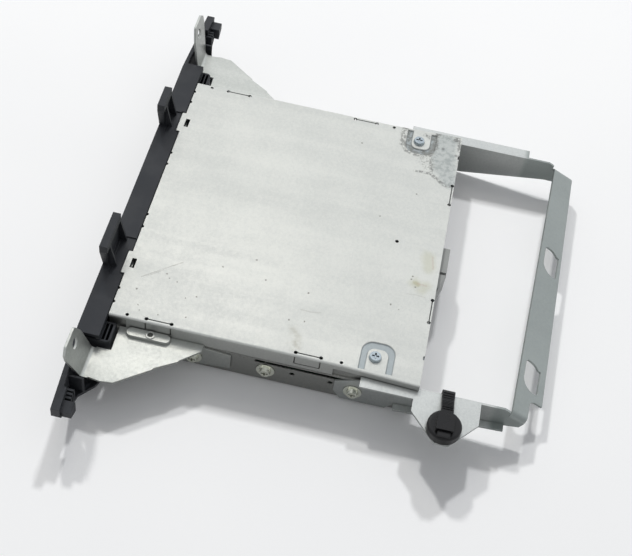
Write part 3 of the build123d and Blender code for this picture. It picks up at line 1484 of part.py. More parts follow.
# Optical pickup: body, bearings on both rods and a fork round the lead screw
with BuildPart() as optical_pickup:
    with BuildSketch(Plane.XY.offset(pickup_z[0])):
        with Locations((pickup_x[0], disc_y)):
            Rectangle(
                pickup_x[1] - pickup_x[0], 2 * pickup_half, align=(Align.MIN, Align.CENTER)
            )
    extrude(amount=pickup_z[1] - pickup_z[0])
    with BuildSketch(Plane.YZ.offset(pickup_x[0])):
        for rod in rods:
            with Locations((rod, rod_z)):
                Circle(rod_boss_r)
            with Locations(((rod + disc_y) / 2, rod_z)):
                Rectangle(rod_offset, 2.4)
    extrude(amount=pickup_x[1] - pickup_x[0])
    under_lead = lead_z - lead_d / 2 - nut_gap
    with BuildSketch(Plane.YZ.offset(sum(pickup_x) / 2 - nut_w / 2)):
        outline(
            (disc_y + pickup_half - 1, rod_z - rod_boss_r + 0.2),
            (disc_y + pickup_half - 1, under_lead),
            (lead_at[0] + lead_d / 2 + nut_gap, under_lead),
            (lead_at[0] + lead_d / 2 + nut_gap, lead_z + 1.0),
            (lead_at[0] + lead_d / 2 + nut_gap + 1.2, lead_z + 1.0),
            (lead_at[0] + lead_d / 2 + nut_gap + 1.2, rod_z - rod_boss_r + 0.2),
        )
    extrude(amount=nut_w)
    with BuildSketch(Plane.YZ.offset(pickup_x[0])):
        with Locations(*[(rod, rod_z) for rod in rods]):
            Circle(rod_d / 2 + run_gap)
    extrude(amount=pickup_x[1] - pickup_x[0], mode=Mode.SUBTRACT)
    with BuildSketch(Plane.XY.offset(pickup_z[1])):
        with Locations((lens_x, disc_y)):
            Circle(lens_r + 0.4)
    extrude(amount=-lens_h, mode=Mode.SUBTRACT)
save(optical_pickup.part, "optical_pickup")

with BuildPart() as objective_lens:
    with BuildSketch(Plane.XY.offset(pickup_z[1] - lens_h)):
        with Locations((lens_x, disc_y)):
            Circle(lens_r)
    extrude(amount=2 * lens_h - 0.4)
    fillet(objective_lens.edges().group_by(Axis.Z)[-1], 0.8)
save(objective_lens.part, "objective_lens")

with BuildPart() as sled_motor_can:
    with BuildSketch(Plane.YZ.offset(sled_motor_x)):
        with Locations(lead_at):
            Rectangle(*sled_motor[1:])
    extrude(amount=-sled_motor[0])
    fillet(sled_motor_can.edges().filter_by(Axis.X), 1.0)
    with BuildSketch(Plane.YZ.offset(sled_motor_x)):
        with Locations(lead_at):
            Circle(lead_d / 2 + run_gap)
    extrude(amount=-4, mode=Mode.SUBTRACT)
save(sled_motor_can.part, "sled_motor")

with BuildPart() as lead_screw:
    with BuildSketch(Plane.YZ.offset(sled_motor_x - 3.5)):
        with Locations(lead_at):
            Circle(lead_d / 2)
    extrude(amount=window_x[1] + lead_end - sled_motor_x + 3.5)
save(lead_screw.part, "lead_screw")

# Clamp arm with bent-down sides, and the clamping puck that hangs in it
with BuildPart() as clamp_arm:
    with BuildSketch(Plane.XY.offset(clamp_z)):
        outline(
            (-clamp_half[0], y_case + clamp_pivot_y + clamp_ear),
            (clamp_half[0], y_case + clamp_pivot_y + clamp_ear),
            (clamp_half[0], y_case + clamp_pivot_y - 8.0),
            (clamp_half[1], disc_y + 16.0),
            (clamp_half[1], disc_y - 10.0),
            (clamp_half[1] - 5.0, disc_y - 15.0),
            (5.0 - clamp_half[1], disc_y - 15.0),
            (-clamp_half[1], disc_y - 10.0),
            (-clamp_half[1], disc_y + 16.0),
            (-clamp_half[0], y_case + clamp_pivot_y - 8.0),
        )
        with Locations((0, disc_y)):
            Circle(puck_neck[0] + run_gap, mode=Mode.SUBTRACT)
        with Locations((0, (disc_y + y_case + clamp_pivot_y) / 2)):
            SlotOverall(32, 12, rotation=90, mode=Mode.SUBTRACT)
    extrude(amount=clamp_t)
    for side_x in (-clamp_half[0], clamp_half[0] - clamp_t):
        with BuildSketch(Plane.YZ.offset(side_x)):
            with Locations((y_case + clamp_pivot_y, clamp_z + clamp_t)):
                Rectangle(
                    2 * clamp_ear, clamp_z + clamp_t - clamp_pivot_z, align=(Align.CENTER, Align.MAX)
                )
            with Locations((y_case + clamp_pivot_y, clamp_pivot_z)):
                Circle(clamp_ear)
                Circle(clamp_pin_d / 2 + run_gap, mode=Mode.SUBTRACT)
        extrude(amount=clamp_t)
save(clamp_arm.part, "clamp_arm")

with BuildPart() as clamp_puck:
    for base_z, radius, height in (
        (puck_z[0], puck_r, puck_z[1] - puck_z[0]),
        (puck_z[1], puck_neck[0], clamp_z + clamp_t + 0.2 - puck_z[1]),
        (clamp_z + clamp_t + 0.2, puck_neck[1], clamp_t),
    ):
        with BuildSketch(Plane.XY.offset(base_z)):
            with Locations((0, disc_y)):
                Circle(radius)
        extrude(amount=height)
    with BuildSketch(Plane.XY.offset(puck_z[0])):
        with Locations((0, disc_y)):
            Circle(puck_recess[0])
    extrude(amount=puck_recess[1], mode=Mode.SUBTRACT)
save(clamp_puck.part, "clamp_puck")
print("all pieces built")
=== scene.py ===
# %% [markdown]
# A slim disc player for a car's dashboard, seen from behind and above on a white table.
# Its folded steel housing, brackets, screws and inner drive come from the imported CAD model.
# This lesson gives every surface its finish, adds the small formed details, and sets up
# the table, the light and the camera. All lengths are in metres unless a name or a comment
# says otherwise.

import json
from math import radians

import bmesh
import bpy
import numpy as np
from mathutils import Euler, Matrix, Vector


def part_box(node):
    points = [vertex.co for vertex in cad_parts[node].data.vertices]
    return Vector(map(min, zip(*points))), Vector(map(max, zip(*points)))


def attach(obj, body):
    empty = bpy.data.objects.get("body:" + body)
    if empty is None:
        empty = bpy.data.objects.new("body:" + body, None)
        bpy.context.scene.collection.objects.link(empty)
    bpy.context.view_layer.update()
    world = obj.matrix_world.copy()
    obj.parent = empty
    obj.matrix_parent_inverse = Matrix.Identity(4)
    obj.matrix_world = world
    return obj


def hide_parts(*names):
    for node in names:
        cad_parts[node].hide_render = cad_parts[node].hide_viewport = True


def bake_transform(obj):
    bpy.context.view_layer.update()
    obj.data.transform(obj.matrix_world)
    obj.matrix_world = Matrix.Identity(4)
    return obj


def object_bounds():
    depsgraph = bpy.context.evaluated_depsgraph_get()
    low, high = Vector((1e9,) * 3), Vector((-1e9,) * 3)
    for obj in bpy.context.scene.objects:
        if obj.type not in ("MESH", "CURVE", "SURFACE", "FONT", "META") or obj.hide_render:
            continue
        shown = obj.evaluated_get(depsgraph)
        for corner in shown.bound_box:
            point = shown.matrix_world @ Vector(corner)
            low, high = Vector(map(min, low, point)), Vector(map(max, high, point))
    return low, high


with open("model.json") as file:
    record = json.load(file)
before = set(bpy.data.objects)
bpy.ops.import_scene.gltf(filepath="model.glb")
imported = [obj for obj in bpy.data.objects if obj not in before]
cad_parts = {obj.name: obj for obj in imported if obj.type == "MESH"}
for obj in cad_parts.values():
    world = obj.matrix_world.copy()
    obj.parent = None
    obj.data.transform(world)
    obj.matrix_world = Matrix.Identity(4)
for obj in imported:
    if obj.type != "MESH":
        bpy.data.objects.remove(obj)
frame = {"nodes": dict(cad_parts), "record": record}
cad_low, cad_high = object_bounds()
size = cad_high - cad_low
print("CAD box in mm:", [round(v * 1000, 1) for v in size])

# %% [markdown]
# The housing's front edge, its half width and its top face are the three values that most
# marks on the cover are measured from, so they are read from the model once.

# %% Places to measure from
front_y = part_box("lower_case")[0].y
cover_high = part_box("top_cover")[1]
half_width, top_z = cover_high.x, cover_high.z
print("housing front, half width and top in mm:")
print([round(v * 1000, 2) for v in (front_y, half_width, top_z)])

# %% [markdown]
# A finish is a small tree of shader nodes. Two helpers keep the trees short to write:
# one makes a material whose plain values sit on the shader's own sockets, and the other
# adds a node and fills its inputs, each either with a value or with another node's output.

# %% Helpers for shader trees
def new_finish(name, colour, roughness, metallic=0.0, specular=0.5):
    """A material with a Principled shader, and its tree and shader to build on."""
    material = bpy.data.materials.new(name)
    material.use_nodes = True
    tree = material.node_tree
    shader = tree.nodes["Principled BSDF"]
    shader.inputs["Base Color"].default_value = (*colour, 1)
    shader.inputs["Roughness"].default_value = roughness
    shader.inputs["Metallic"].default_value = metallic
    shader.inputs["Specular IOR Level"].default_value = specular
    return material, tree, shader


def node(tree, kind, inputs=(), **settings):
    """Add a node: settings are its properties, inputs maps a socket to a value or an output."""
    made = tree.nodes.new("ShaderNode" + kind)
    for key, value in settings.items():
        setattr(made, key, value)
    for key, value in dict(inputs).items():
        if isinstance(value, bpy.types.NodeSocket):
            tree.links.new(value, made.inputs[key])
        else:
            made.inputs[key].default_value = value
    return made


print("helpers for trees ready")

# %% [markdown]
# On top of these come the steps that every finish uses: a place on the piece, noise at that
# place, arithmetic, a smooth ramp, a blend of two colours, and a bump. A pattern is always
# read at Object coordinates, so it stays on the piece when the player moves.

# %% Helpers for patterns
def object_place(tree, scale=(1, 1, 1), shift=(0, 0, 0)):
    """Object coordinates, scaled and shifted by a Mapping node."""
    place = node(tree, "TexCoord").outputs["Object"]
    inputs = {"Vector": place, "Scale": scale, "Location": shift}
    return node(tree, "Mapping", inputs, vector_type="POINT").outputs["Vector"]


def noise(tree, scale, detail, roughness, stretch=(1, 1, 1), shift=(0, 0, 0)):
    """Soft random pattern from 0 to 1, its features about 1 / scale metres wide."""
    place = object_place(tree, stretch, shift)
    inputs = {"Vector": place, "Scale": scale, "Detail": detail, "Roughness": roughness}
    return node(tree, "TexNoise", inputs).outputs["Fac"]


def compute(tree, operation, a, b=0.0, c=0.0, clamp=False):
    """One arithmetic step on one, two or three values or outputs."""
    made = node(tree, "Math", {0: a, 1: b, 2: c}, operation=operation)
    made.use_clamp = clamp
    return made.outputs[0]


def vector_step(tree, operation, a, b, output="Vector"):
    """One arithmetic step on two vectors, each a value or an output."""
    return node(tree, "VectorMath", {0: a, 1: b}, operation=operation).outputs[output]


def component(tree, vector, axis):
    """The X, Y or Z of a vector."""
    return node(tree, "SeparateXYZ", {0: vector}).outputs[axis]


def ramp(tree, fac, low, high, start=0.0, end=1.0):
    """Rise smoothly from start to end while fac goes from low to high."""
    inputs = {"Value": fac, "From Min": low, "From Max": high, "To Min": start, "To Max": end}
    made = node(tree, "MapRange", inputs, interpolation_type="SMOOTHSTEP")
    return made.outputs["Result"]


print("helpers for patterns ready")

# %% [markdown]
# A finish is painted in layers, as on a real piece: a base colour, then tints laid over it
# through masks. Shade is painted into corners from ambient occlusion, which measures how
# closed in a place is, and sharp corners are softened in the shading by a Bevel node.

# %% Helpers for colour and bump
def mix(tree, fac, a, b):
    """Go from colour a to colour b by fac; each colour is a triple or an output."""
    made = node(tree, "Mix", data_type="RGBA")
    for socket, value in ((0, fac), (6, a), (7, b)):
        if isinstance(value, tuple):
            value = (*value, 1)
        if isinstance(value, bpy.types.NodeSocket):
            tree.links.new(value, made.inputs[socket])
        else:
            made.inputs[socket].default_value = value
    return made.outputs[2]


def paint(tree, colour, mask, strength, tint):
    """Lay a tint over a colour where the mask is 1, at the given strength."""
    return mix(tree, compute(tree, "MULTIPLY", mask, strength), colour, tint)


def bump(tree, shader, height, distance, strength, edge=0.0):
    """Turn a height into a shading bump; edge rounds sharp corners by that radius."""
    inputs = {"Height": height, "Distance": distance, "Strength": strength}
    if edge:
        inputs["Normal"] = node(tree, "Bevel", {"Radius": edge}, samples=4).outputs[0]
    made = node(tree, "Bump", inputs)
    tree.links.new(made.outputs["Normal"], shader.inputs["Normal"])


def corner_shade(tree, colour, reach, strength, tint):
    """Paint shade into the corners and gaps that have another surface within reach."""
    closed, open_air = 0.3, 0.9
    open_share = node(tree, "AmbientOcclusion", {"Distance": reach}, samples=8).outputs["AO"]
    return mix(tree, ramp(tree, open_share, closed, open_air, strength, 0), colour, tint)


print("helpers for colour ready")

# %% [markdown]
# The housing and its brackets are zinc-coated sheet. Rolled zinc is never even: it has
# broad clouds, streaks along the rolling direction, a mottle and a fine speckle. So the
# colour is a base tone shifted by four patterns of different size, and the same patterns
# move the roughness, which is what makes the gloss break up as it does on the real sheet.
# Shade is painted into corners and gaps, and upright folded faces are painted darker.

# %% Zinc-coated sheet
fold_round, gap_reach, zinc_relief = 0.00025, 0.0016, 0.00002
# Painted shade: the tints that upright faces and closed-in corners are darkened toward.
side_shade_tint, gap_shade_tint = (0.04, 0.043, 0.04), (0.07, 0.07, 0.062)


def zinc_sheet(name, light, dark, roughness, metallic, side_shade_keep):
    """Zinc: clouds, streaks, mottle and speckle; upright faces and corners get painted shade."""
    material, tree, shader = new_finish(name, light, roughness, metallic)
    clouds = noise(tree, 22, 5, 0.55)
    streaks = noise(tree, 90, 4, 0.6, stretch=(1.0, 0.05, 1.0))
    mottle = noise(tree, 650, 3, 0.65)
    grain = noise(tree, 2600, 2, 0.7)
    half_clouds = compute(tree, "MULTIPLY", clouds, 0.5)
    tone = compute(tree, "ADD", half_clouds, compute(tree, "MULTIPLY", streaks, 0.5))
    for pattern, share in ((mottle, 0.6), (grain, 0.5)):
        tone = compute(tree, "MULTIPLY_ADD", compute(tree, "SUBTRACT", pattern, 0.5), share, tone)
    colour = mix(tree, ramp(tree, tone, 0.25, 0.75), dark, light)

    # Painted shade: faces that stand upright keep only a share of their colour.
    facing_up = component(tree, node(tree, "TexCoord").outputs["Normal"], "Z")
    side_shade_mask = ramp(tree, compute(tree, "ABSOLUTE", facing_up), 0.2, 0.75, 1 - side_shade_keep, 0)
    colour = mix(tree, side_shade_mask, colour, side_shade_tint)
    # Painted shade in corners and gaps, from ambient occlusion.
    colour = corner_shade(tree, colour, gap_reach, 0.6, gap_shade_tint)

    gloss = ramp(tree, tone, 0.25, 0.75, roughness + 0.1, roughness - 0.06)
    tree.links.new(gloss, shader.inputs["Roughness"])
    relief = compute(tree, "MULTIPLY_ADD", mottle, 0.6, grain)
    bump(tree, shader, relief, zinc_relief, 0.5, fold_round)
    return material, tree, shader, colour


print("zinc recipe ready, folds rounded by", fold_round * 1000, "mm")

# %% [markdown]
# Three sheets share the recipe with tones of their own. The cross strip of the rear bracket
# leans away from the windows, so its shade is painted in as a darker blue-grey tint there.

# %% Zinc of the case, the gussets and the rear bracket
finishes = {}
strip_width, strip_edge = 0.030, 0.002
strip_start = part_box("rear_bracket")[1].y - strip_width
for name, light, dark, roughness, side_shade_keep in (
    ("case_zinc", (0.60, 0.60, 0.57), (0.50, 0.50, 0.475), 0.33, 0.5),
    ("gusset_zinc", (0.62, 0.635, 0.605), (0.52, 0.54, 0.515), 0.37, 0.66),
    ("bracket_zinc", (0.64, 0.66, 0.645), (0.54, 0.56, 0.55), 0.4, 0.68),
):
    material, tree, shader, colour = zinc_sheet(name, light, dark, roughness, 0.7, side_shade_keep)
    if name == "bracket_zinc":
        # Painted shade on the cross strip, which leans away from the windows.
        depth = component(tree, object_place(tree), "Y")
        strip_from, strip_to = strip_start - strip_edge, strip_start + strip_edge
        strip_shade = ramp(tree, depth, strip_from, strip_to, 0, 0.85)
        colour = mix(tree, strip_shade, colour, (0.28, 0.31, 0.30))
    tree.links.new(colour, shader.inputs["Base Color"])
    finishes[name] = material
print("zinc finishes:", list(finishes))

# %% [markdown]
# The cover is the brightest sheet and the one that shows its years. Its marks were measured
# in millimetres, x from the middle and y from the housing's front edge: a corroded corner at
# the far rear, pale stains at the rear edge, a scratch near the front, a rubbed smudge and
# specks of dirt. Each mark is a line or a spot, and its mask comes from the distance to it.
# The place that the distance is measured from is first pushed about by noise, which gives
# every mark the ragged edge of real dirt instead of a clean outline.

# %% Helpers for marks
def on_cover(x, y):
    """A point on the cover from millimetres, its height dropped, so a mark runs down an edge."""
    return Vector((x / 1000, front_y + y / 1000, 0))


def ragged_place(tree, reach, scale):
    """Object coordinates without height, pushed up to reach sideways by noise."""
    place = object_place(tree, (1, 1, 0))
    inputs = {"Vector": place, "Scale": scale, "Detail": 3.0, "Roughness": 0.6}
    push = node(tree, "TexNoise", inputs).outputs["Color"]
    push = vector_step(tree, "SUBTRACT", push, (0.5, 0.5, 0.5))
    push = vector_step(tree, "MULTIPLY", push, (2 * reach, 2 * reach, 0))
    return vector_step(tree, "ADD", place, push)


def to_line(tree, place, start, end):
    """Distance to the straight line from start to end: to its foot, kept between the two."""
    along = end - start
    out = vector_step(tree, "SUBTRACT", place, start)
    share = vector_step(tree, "DOT_PRODUCT", out, along / along.length_squared, "Value")
    share = compute(tree, "ADD", share, clamp=True)
    foot = node(tree, "VectorMath", {0: along, "Scale": share}, operation="SCALE").outputs[0]
    return vector_step(tree, "DISTANCE", out, foot, "Value")


def marked(tree, place, paths, soft):
    """1 on paths of (x, y, radius) points in mm, fading over soft mm; one point is a spot."""
    nearest = None
    for path in paths:
        ends = [on_cover(x, y) for x, y, radius in path]
        for k in range(max(1, len(path) - 1)):
            if len(path) == 1:
                away = vector_step(tree, "DISTANCE", place, ends[0], "Value")
            else:
                away = to_line(tree, place, ends[k], ends[k + 1])
            away = compute(tree, "SUBTRACT", away, path[k][2] / 1000)
            nearest = away if nearest is None else compute(tree, "MINIMUM", nearest, away)
    return ramp(tree, nearest, -soft / 1000, soft / 1000, 1, 0)


def crumbs(tree, scale, least, most, shift=0.0):
    """Noise cut off below least: separate grains of dirt, the more the lower least is."""
    return ramp(tree, noise(tree, scale, 4, 0.7, shift=(shift, 0, 0)), least, most)


print("helpers for marks ready, front edge at", round(front_y * 1000, 2), "mm")

# %% [markdown]
# Two U-shaped grooves are pressed into the cover round its screws. Their floor lies lower
# than the sheet and is painted blue-grey, as shade and dirt; in the far one more dirt has
# gathered. The rounded long edges of the cover lie as low as that floor, so the tint is kept
# off them by the width of the flared side and its fold.

# %% The cover's aged zinc and its grooves
light_zinc, dark_zinc = (0.69, 0.70, 0.665), (0.605, 0.62, 0.595)
material, tree, shader, colour = zinc_sheet("cover_zinc", light_zinc, dark_zinc, 0.42, 0.5, 0.62)
fine = ragged_place(tree, 0.0006, 900)
broad = ragged_place(tree, 0.0022, 190)

side_flare, fold, edge_fade = 0.0018, 0.0013, 0.0002
flat_part = half_width - side_flare - fold
groove_floor, groove_brim = top_z - 0.0006, top_z - 0.0001
middle_fade = 0.002

sideways = component(tree, object_place(tree), "X")
height = component(tree, object_place(tree), "Z")
from_middle = compute(tree, "ABSOLUTE", sideways)
inboard = ramp(tree, from_middle, flat_part - edge_fade, flat_part, 1, 0)
sunk = compute(tree, "MULTIPLY", ramp(tree, height, groove_floor, groove_brim, 1, 0), inboard)
# Painted shade and dirt: the floor of the grooves is tinted blue-grey.
colour = paint(tree, colour, sunk, 0.8, (0.33, 0.38, 0.405))
far_side = ramp(tree, sideways, -middle_fade, middle_fade, 1, 0)
far_groove = compute(tree, "MULTIPLY", sunk, far_side)
soiled = compute(tree, "MULTIPLY", far_groove, crumbs(tree, 480, 0.32, 0.6))
colour = paint(tree, colour, soiled, 0.85, (0.20, 0.205, 0.19))
print("flat part of the cover, half of it in mm:", round(flat_part * 1000, 1))

# %% [markdown]
# The corroded corner is built up as it grew: a grey patch, darker ridges on it, loose specks
# round it, a dark rim where the dirt stopped, a line of dirt along the groove, and a few dark
# spots. The order matters, because each one covers the ones before.

# %% Marks of the corroded corner
corner_patch = [[(-84, 150.5, 6.5), (-63, 152, 6.5)], [(-63, 153.5, 5), (-53, 156.5, 4)]]
rim_toward_middle = [
    (-55.7, 136.5, 0.9), (-55.9, 142, 0.9), (-55.6, 146, 1.2),
    (-51, 151.6, 1.2), (-49, 154.7, 1.0), (-49.3, 159, 1),
]
rim_toward_front = [
    (-86, 138.5, 1.3), (-83, 145, 1.5), (-77.2, 145.5, 1.2),
    (-72.5, 143.3, 1.0), (-66, 144.6, 1.0), (-58, 145.5, 1.1),
]
rim_at_rear = [(-88.6, 157.5, 1.2), (-79, 159.7, 0.8), (-66, 160.6, 0.7), (-50, 160.8, 0.6)]
groove_front = [
    (-92, 126.2, 1.7), (-83, 125.8, 1.8), (-75, 126.4, 1.5), (-70.5, 129, 1.3), (-68.8, 133, 1.5),
]
groove_rear = [
    (-68.8, 133, 1.5), (-69, 139, 1.6), (-71.6, 143.4, 1.5), (-80, 145, 1.3), (-89, 145.5, 1.2),
]
corner_specks = [[(-66, 140, 3.5), (-60, 145.5, 3.5)], [(-92, 146, 3), (-88, 158, 3)]]
dark_spots = [
    [(-77.8, 149.9, 1.0)], [(-87.1, 156.5, 1.4)], [(-74.4, 158, 0.9)], [(-89.5, 146, 1.6)],
]

patch = marked(tree, broad, corner_patch, 2.2)
colour = paint(tree, colour, patch, 0.7, (0.46, 0.49, 0.48))
ridges = ramp(tree, noise(tree, 380, 6, 0.75, shift=(0.3, 0, 0)), 0.45, 0.6, 0, 0.7)
colour = paint(tree, colour, patch, ridges, (0.33, 0.36, 0.355))
for place, paths, soft, grains, strength, tint in (
    (broad, corner_specks, 2.0, (900, 0.52, 0.6), 0.7, (0.29, 0.29, 0.27)),
    (
        fine, [rim_toward_middle, rim_toward_front, rim_at_rear], 0.6,
        (560, 0.4, 0.56, 0.1), 0.8, (0.21, 0.215, 0.205),
    ),
    (fine, [groove_front, groove_rear], 0.8, (560, 0.4, 0.54, 0.2), 0.8, (0.24, 0.245, 0.23)),
):
    mask = compute(tree, "MULTIPLY", marked(tree, place, paths, soft), crumbs(tree, *grains))
    colour = paint(tree, colour, mask, strength, tint)
colour = paint(tree, colour, marked(tree, fine, dark_spots, 0.6), 0.6, (0.16, 0.165, 0.16))
print("corner marked, its rim toward the middle at x =", rim_toward_middle[0][0], "mm")

# %% [markdown]
# The other marks are use and handling: pale stains where something dripped, a pink line at
# the edge of each, thin arcs, a rubbed smudge, a scratch and single specks. The places were
# measured one by one, so they stand in lists of their own, apart from the code that draws them.

# %% Where the stains and the scratch lie
pale_stains = [
    [(6, 152.6, 3.2), (14, 154.0, 2.6)], [(26.0, 148.2, 3.2)], [(30, 152, 2.4), (26, 154, 2.8)],
]
small_stain = [[(25.9, 148.4, 1.3), (26.8, 149.8, 1.1)]]
pink_lines = [[(25.9, 149.5, 0.5), (26.4, 154.2, 0.3)], [(5.5, 155, 0.4), (13.8, 156.3, 0.3)]]
rear_arc = [(34.3, 145.1, 0.25), (33.9, 149.8, 0.25), (34.2, 154.5, 0.2)]
side_arc = [(59.8, 93.1, 0.3), (60, 98.4, 0.3), (59.2, 103.3, 0.2)]
smudge_area = [[(72.5, 92.0, 1.4), (77, 93.5, 2.4), (84.5, 95.2, 2.0)]]
scratch_line = [
    [(61.5, 9.0, 0.15), (50.4, 22.2, 0.25), (46.5, 27.1, 0.1)], [(60.5, 11.5, 0.1), (54, 19, 0.1)],
]
specks = [
    (28.8, 148.7, 0.45), (21.9, 146.4, 0.5), (24.0, 145.9, 0.45), (43.7, 137.9, 0.5),
    (45.8, 142.5, 0.35), (43.6, 47.9, 0.4), (34.1, 63.9, 0.45), (56.1, 21.1, 0.4),
    (58.5, 23.3, 0.35), (59.8, 27.5, 0.35), (69.8, 9.0, 0.45), (48.2, 94.7, 0.5),
    (66.5, 39.6, 0.4), (68.9, 34.4, 0.35), (79.5, 12.4, 0.35), (82.5, 14.0, 0.35),
    (80.7, 37.6, 0.4), (82.9, 23.8, 0.35), (67.9, 88.5, 0.45), (66.8, 96.4, 0.45),
    (45.9, 71.5, 0.4), (-37.8, 139.9, 0.5), (-15.5, 122.4, 0.4), (-68.4, 103.1, 0.5),
]
print("specks:", len(specks))

# %% [markdown]
# Stains are whole, so their mask is used as it is. The smudge and the scratch are rubbed and
# broken, so theirs is multiplied by crumbs of noise. A thin dust lies over everything.

# %% Stains, smudge, scratch and specks
for place, paths, soft, strength, tint in (
    (broad, pale_stains, 2.6, 0.42, (0.50, 0.50, 0.36)),
    (fine, small_stain, 0.9, 0.55, (0.40, 0.38, 0.22)),
    (fine, pink_lines, 0.5, 0.35, (0.50, 0.38, 0.32)),
    (fine, [rear_arc, side_arc], 0.3, 0.28, (0.30, 0.29, 0.25)),
):
    colour = paint(tree, colour, marked(tree, place, paths, soft), strength, tint)
for place, paths, soft, grains, strength, tint in (
    (broad, smudge_area, 2.6, (170, 0.3, 0.7), 0.55, (0.37, 0.35, 0.27)),
    (fine, scratch_line, 0.25, (500, 0.35, 0.55), 0.6, (0.22, 0.21, 0.18)),
):
    mask = compute(tree, "MULTIPLY", marked(tree, place, paths, soft), crumbs(tree, *grains))
    colour = paint(tree, colour, mask, strength, tint)
speck_mask = marked(tree, fine, [[speck] for speck in specks], 0.25)
colour = paint(tree, colour, speck_mask, 0.8, (0.14, 0.13, 0.11))
dust = crumbs(tree, 1500, 0.68, 0.74, 0.4)
colour = paint(tree, colour, dust, 0.35, (0.30, 0.29, 0.26))
tree.links.new(colour, shader.inputs["Base Color"])
finishes["cover_zinc"] = material
print("nodes in the cover's finish:", len(tree.nodes))

# %% [markdown]
# The trim and the harness clip are black moulded plastic. The trim has a fine sand-blasted
# grain from its mould and reads dark blue-grey where it faces the light; the clip is
# smoother and blacker. Gears, chips, rubber, felt and the lacquer of the board follow the
# same recipe with a grain of their own size.

# %% Moulded plastics
def moulding(name, colour, roughness, grain, depth, dust, edge, specular=0.5):
    """Moulded plastic: a grain, small changes of gloss, and a little pale dust."""
    material, tree, shader = new_finish(name, colour, roughness, 0.0, specular)
    cells = noise(tree, grain, 3, 0.6)
    patches = noise(tree, 55, 4, 0.65)
    pale = tuple(min(1, c * 1.9 + 0.02) for c in colour)
    dusty = ramp(tree, patches, 0.48, 0.75, 0, dust)
    gloss = ramp(tree, patches, 0.3, 0.7, roughness - 0.06, roughness + 0.1)
    tree.links.new(mix(tree, dusty, colour, pale), shader.inputs["Base Color"])
    tree.links.new(gloss, shader.inputs["Roughness"])
    bump(tree, shader, cells, depth, 0.6, edge)
    return material


for name, tint, roughness, grain, depth, dust, edge, specular in (
    ("trim_plastic", (0.017, 0.019, 0.023), 0.55, 900, 0.00003, 0.12, 0.0003, 0.5),
    ("clip_plastic", (0.010, 0.010, 0.011), 0.3, 1400, 0.00001, 0.06, 0.0003, 0.3),
    ("connector_plastic", (0.30, 0.31, 0.30), 0.45, 900, 0.00003, 0.12, 0.0003, 0.5),
    ("gear_plastic", (0.62, 0.61, 0.56), 0.4, 1600, 0.00001, 0.1, 0.0001, 0.5),
    ("chip_plastic", (0.02, 0.02, 0.022), 0.5, 2500, 0.00001, 0.1, 0.0001, 0.5),
    ("roller_rubber", (0.018, 0.018, 0.018), 0.75, 1800, 0.00003, 0.2, 0.0003, 0.5),
    ("felt_pile", (0.015, 0.015, 0.016), 0.95, 5000, 0.0002, 0.3, 0, 0.5),
    ("board_lacquer", (0.015, 0.07, 0.03), 0.3, 600, 0.00001, 0.15, 0, 0.5),
):
    finishes[name] = moulding(name, tint, roughness, grain, depth, dust, edge, specular)
print("plastics:", [k for k in finishes if "zinc" not in k])

# %% [markdown]
# The small metal parts are plated screws, ground shafts, motor cans, brass pins and the cast
# body of the pickup. They share one recipe, with faint marks in their gloss and painted shade
# in their gaps. The pickup's lens is the one piece of glass.

# %% Small metal parts and the lens
metal_round, metal_gap, metal_relief = 0.00012, 0.0008, 0.00001


def plated(name, colour, roughness):
    """Bare or plated metal with faint marks in its gloss and painted shade in its gaps."""
    material, tree, shader = new_finish(name, colour, roughness, 0.9)
    marks = noise(tree, 700, 4, 0.7)
    dull = tuple(c * 0.72 for c in colour)
    worn_and_shaded = mix(tree, ramp(tree, marks, 0.45, 0.8, 0, 0.6), colour, dull)
    # Painted shade in corners and gaps, from ambient occlusion.
    worn_and_shaded = corner_shade(tree, worn_and_shaded, metal_gap, 0.9, (0.04, 0.04, 0.04))
    gloss = ramp(tree, marks, 0.3, 0.7, roughness - 0.05, roughness + 0.12)
    tree.links.new(worn_and_shaded, shader.inputs["Base Color"])
    tree.links.new(gloss, shader.inputs["Roughness"])
    bump(tree, shader, marks, metal_relief, 0.4, metal_round)
    return material


for name, tint, roughness in (
    ("screw_zinc", (0.62, 0.62, 0.57), 0.34),
    ("blue_zinc", (0.44, 0.50, 0.54), 0.2),
    ("yellow_zinc", (0.84, 0.85, 0.75), 0.18),
    ("motor_steel", (0.52, 0.52, 0.52), 0.35),
    ("shaft_steel", (0.66, 0.66, 0.66), 0.18),
    ("pin_brass", (0.62, 0.48, 0.22), 0.25),
    ("pickup_cast", (0.36, 0.36, 0.37), 0.45),
):
    finishes[name] = plated(name, tint, roughness)
material, tree, shader = new_finish("lens_glass", (0.55, 0.62, 0.72), 0.05)
shader.inputs["Transmission Weight"].default_value = 0.8
bump(tree, shader, noise(tree, 300, 2, 0.5), 0.000002, 0.2)
finishes["lens_glass"] = material
print("finishes in all:", len(finishes))

# %% [markdown]
# Each CAD node takes the finish of its material slot in the record, which mostly has the
# slot's own name. A few nodes look different from the rest of their slot: the screws of the
# cover are plated blue, those of the sides yellow, and the gussets are cleaner than the rear
# bracket. The node's own mesh stays as it is; only its material changes.

# %% Dress the CAD nodes
slot_finish = {
    "cover_steel": "cover_zinc",
    "case_steel": "case_zinc",
    "bracket_steel": "bracket_zinc",
    "screw_steel": "screw_zinc",
    "felt": "felt_pile",
    "board_laminate": "board_lacquer",
    "pickup_metal": "pickup_cast",
}
node_finish = {
    "cover_screws": "blue_zinc",
    "side_screws": "yellow_zinc",
    "left_front_bracket": "gusset_zinc",
    "right_front_bracket": "gusset_zinc",
}
for part in frame["record"]["subparts"]:
    cad = frame["nodes"][part["node"]]
    slot = part["material_slot"]
    finish = node_finish.get(part["node"], slot_finish.get(slot, slot))
    cad.data.materials.clear()
    cad.data.materials.append(finishes[finish])

# %% [markdown]
# New pieces are worked out as grids of points, whole arrays at a time. Two helpers turn such
# a grid into a piece: one numbers its faces, and the other makes the mesh, merges the points
# that fall together and prints whether the piece is closed and faces outward.

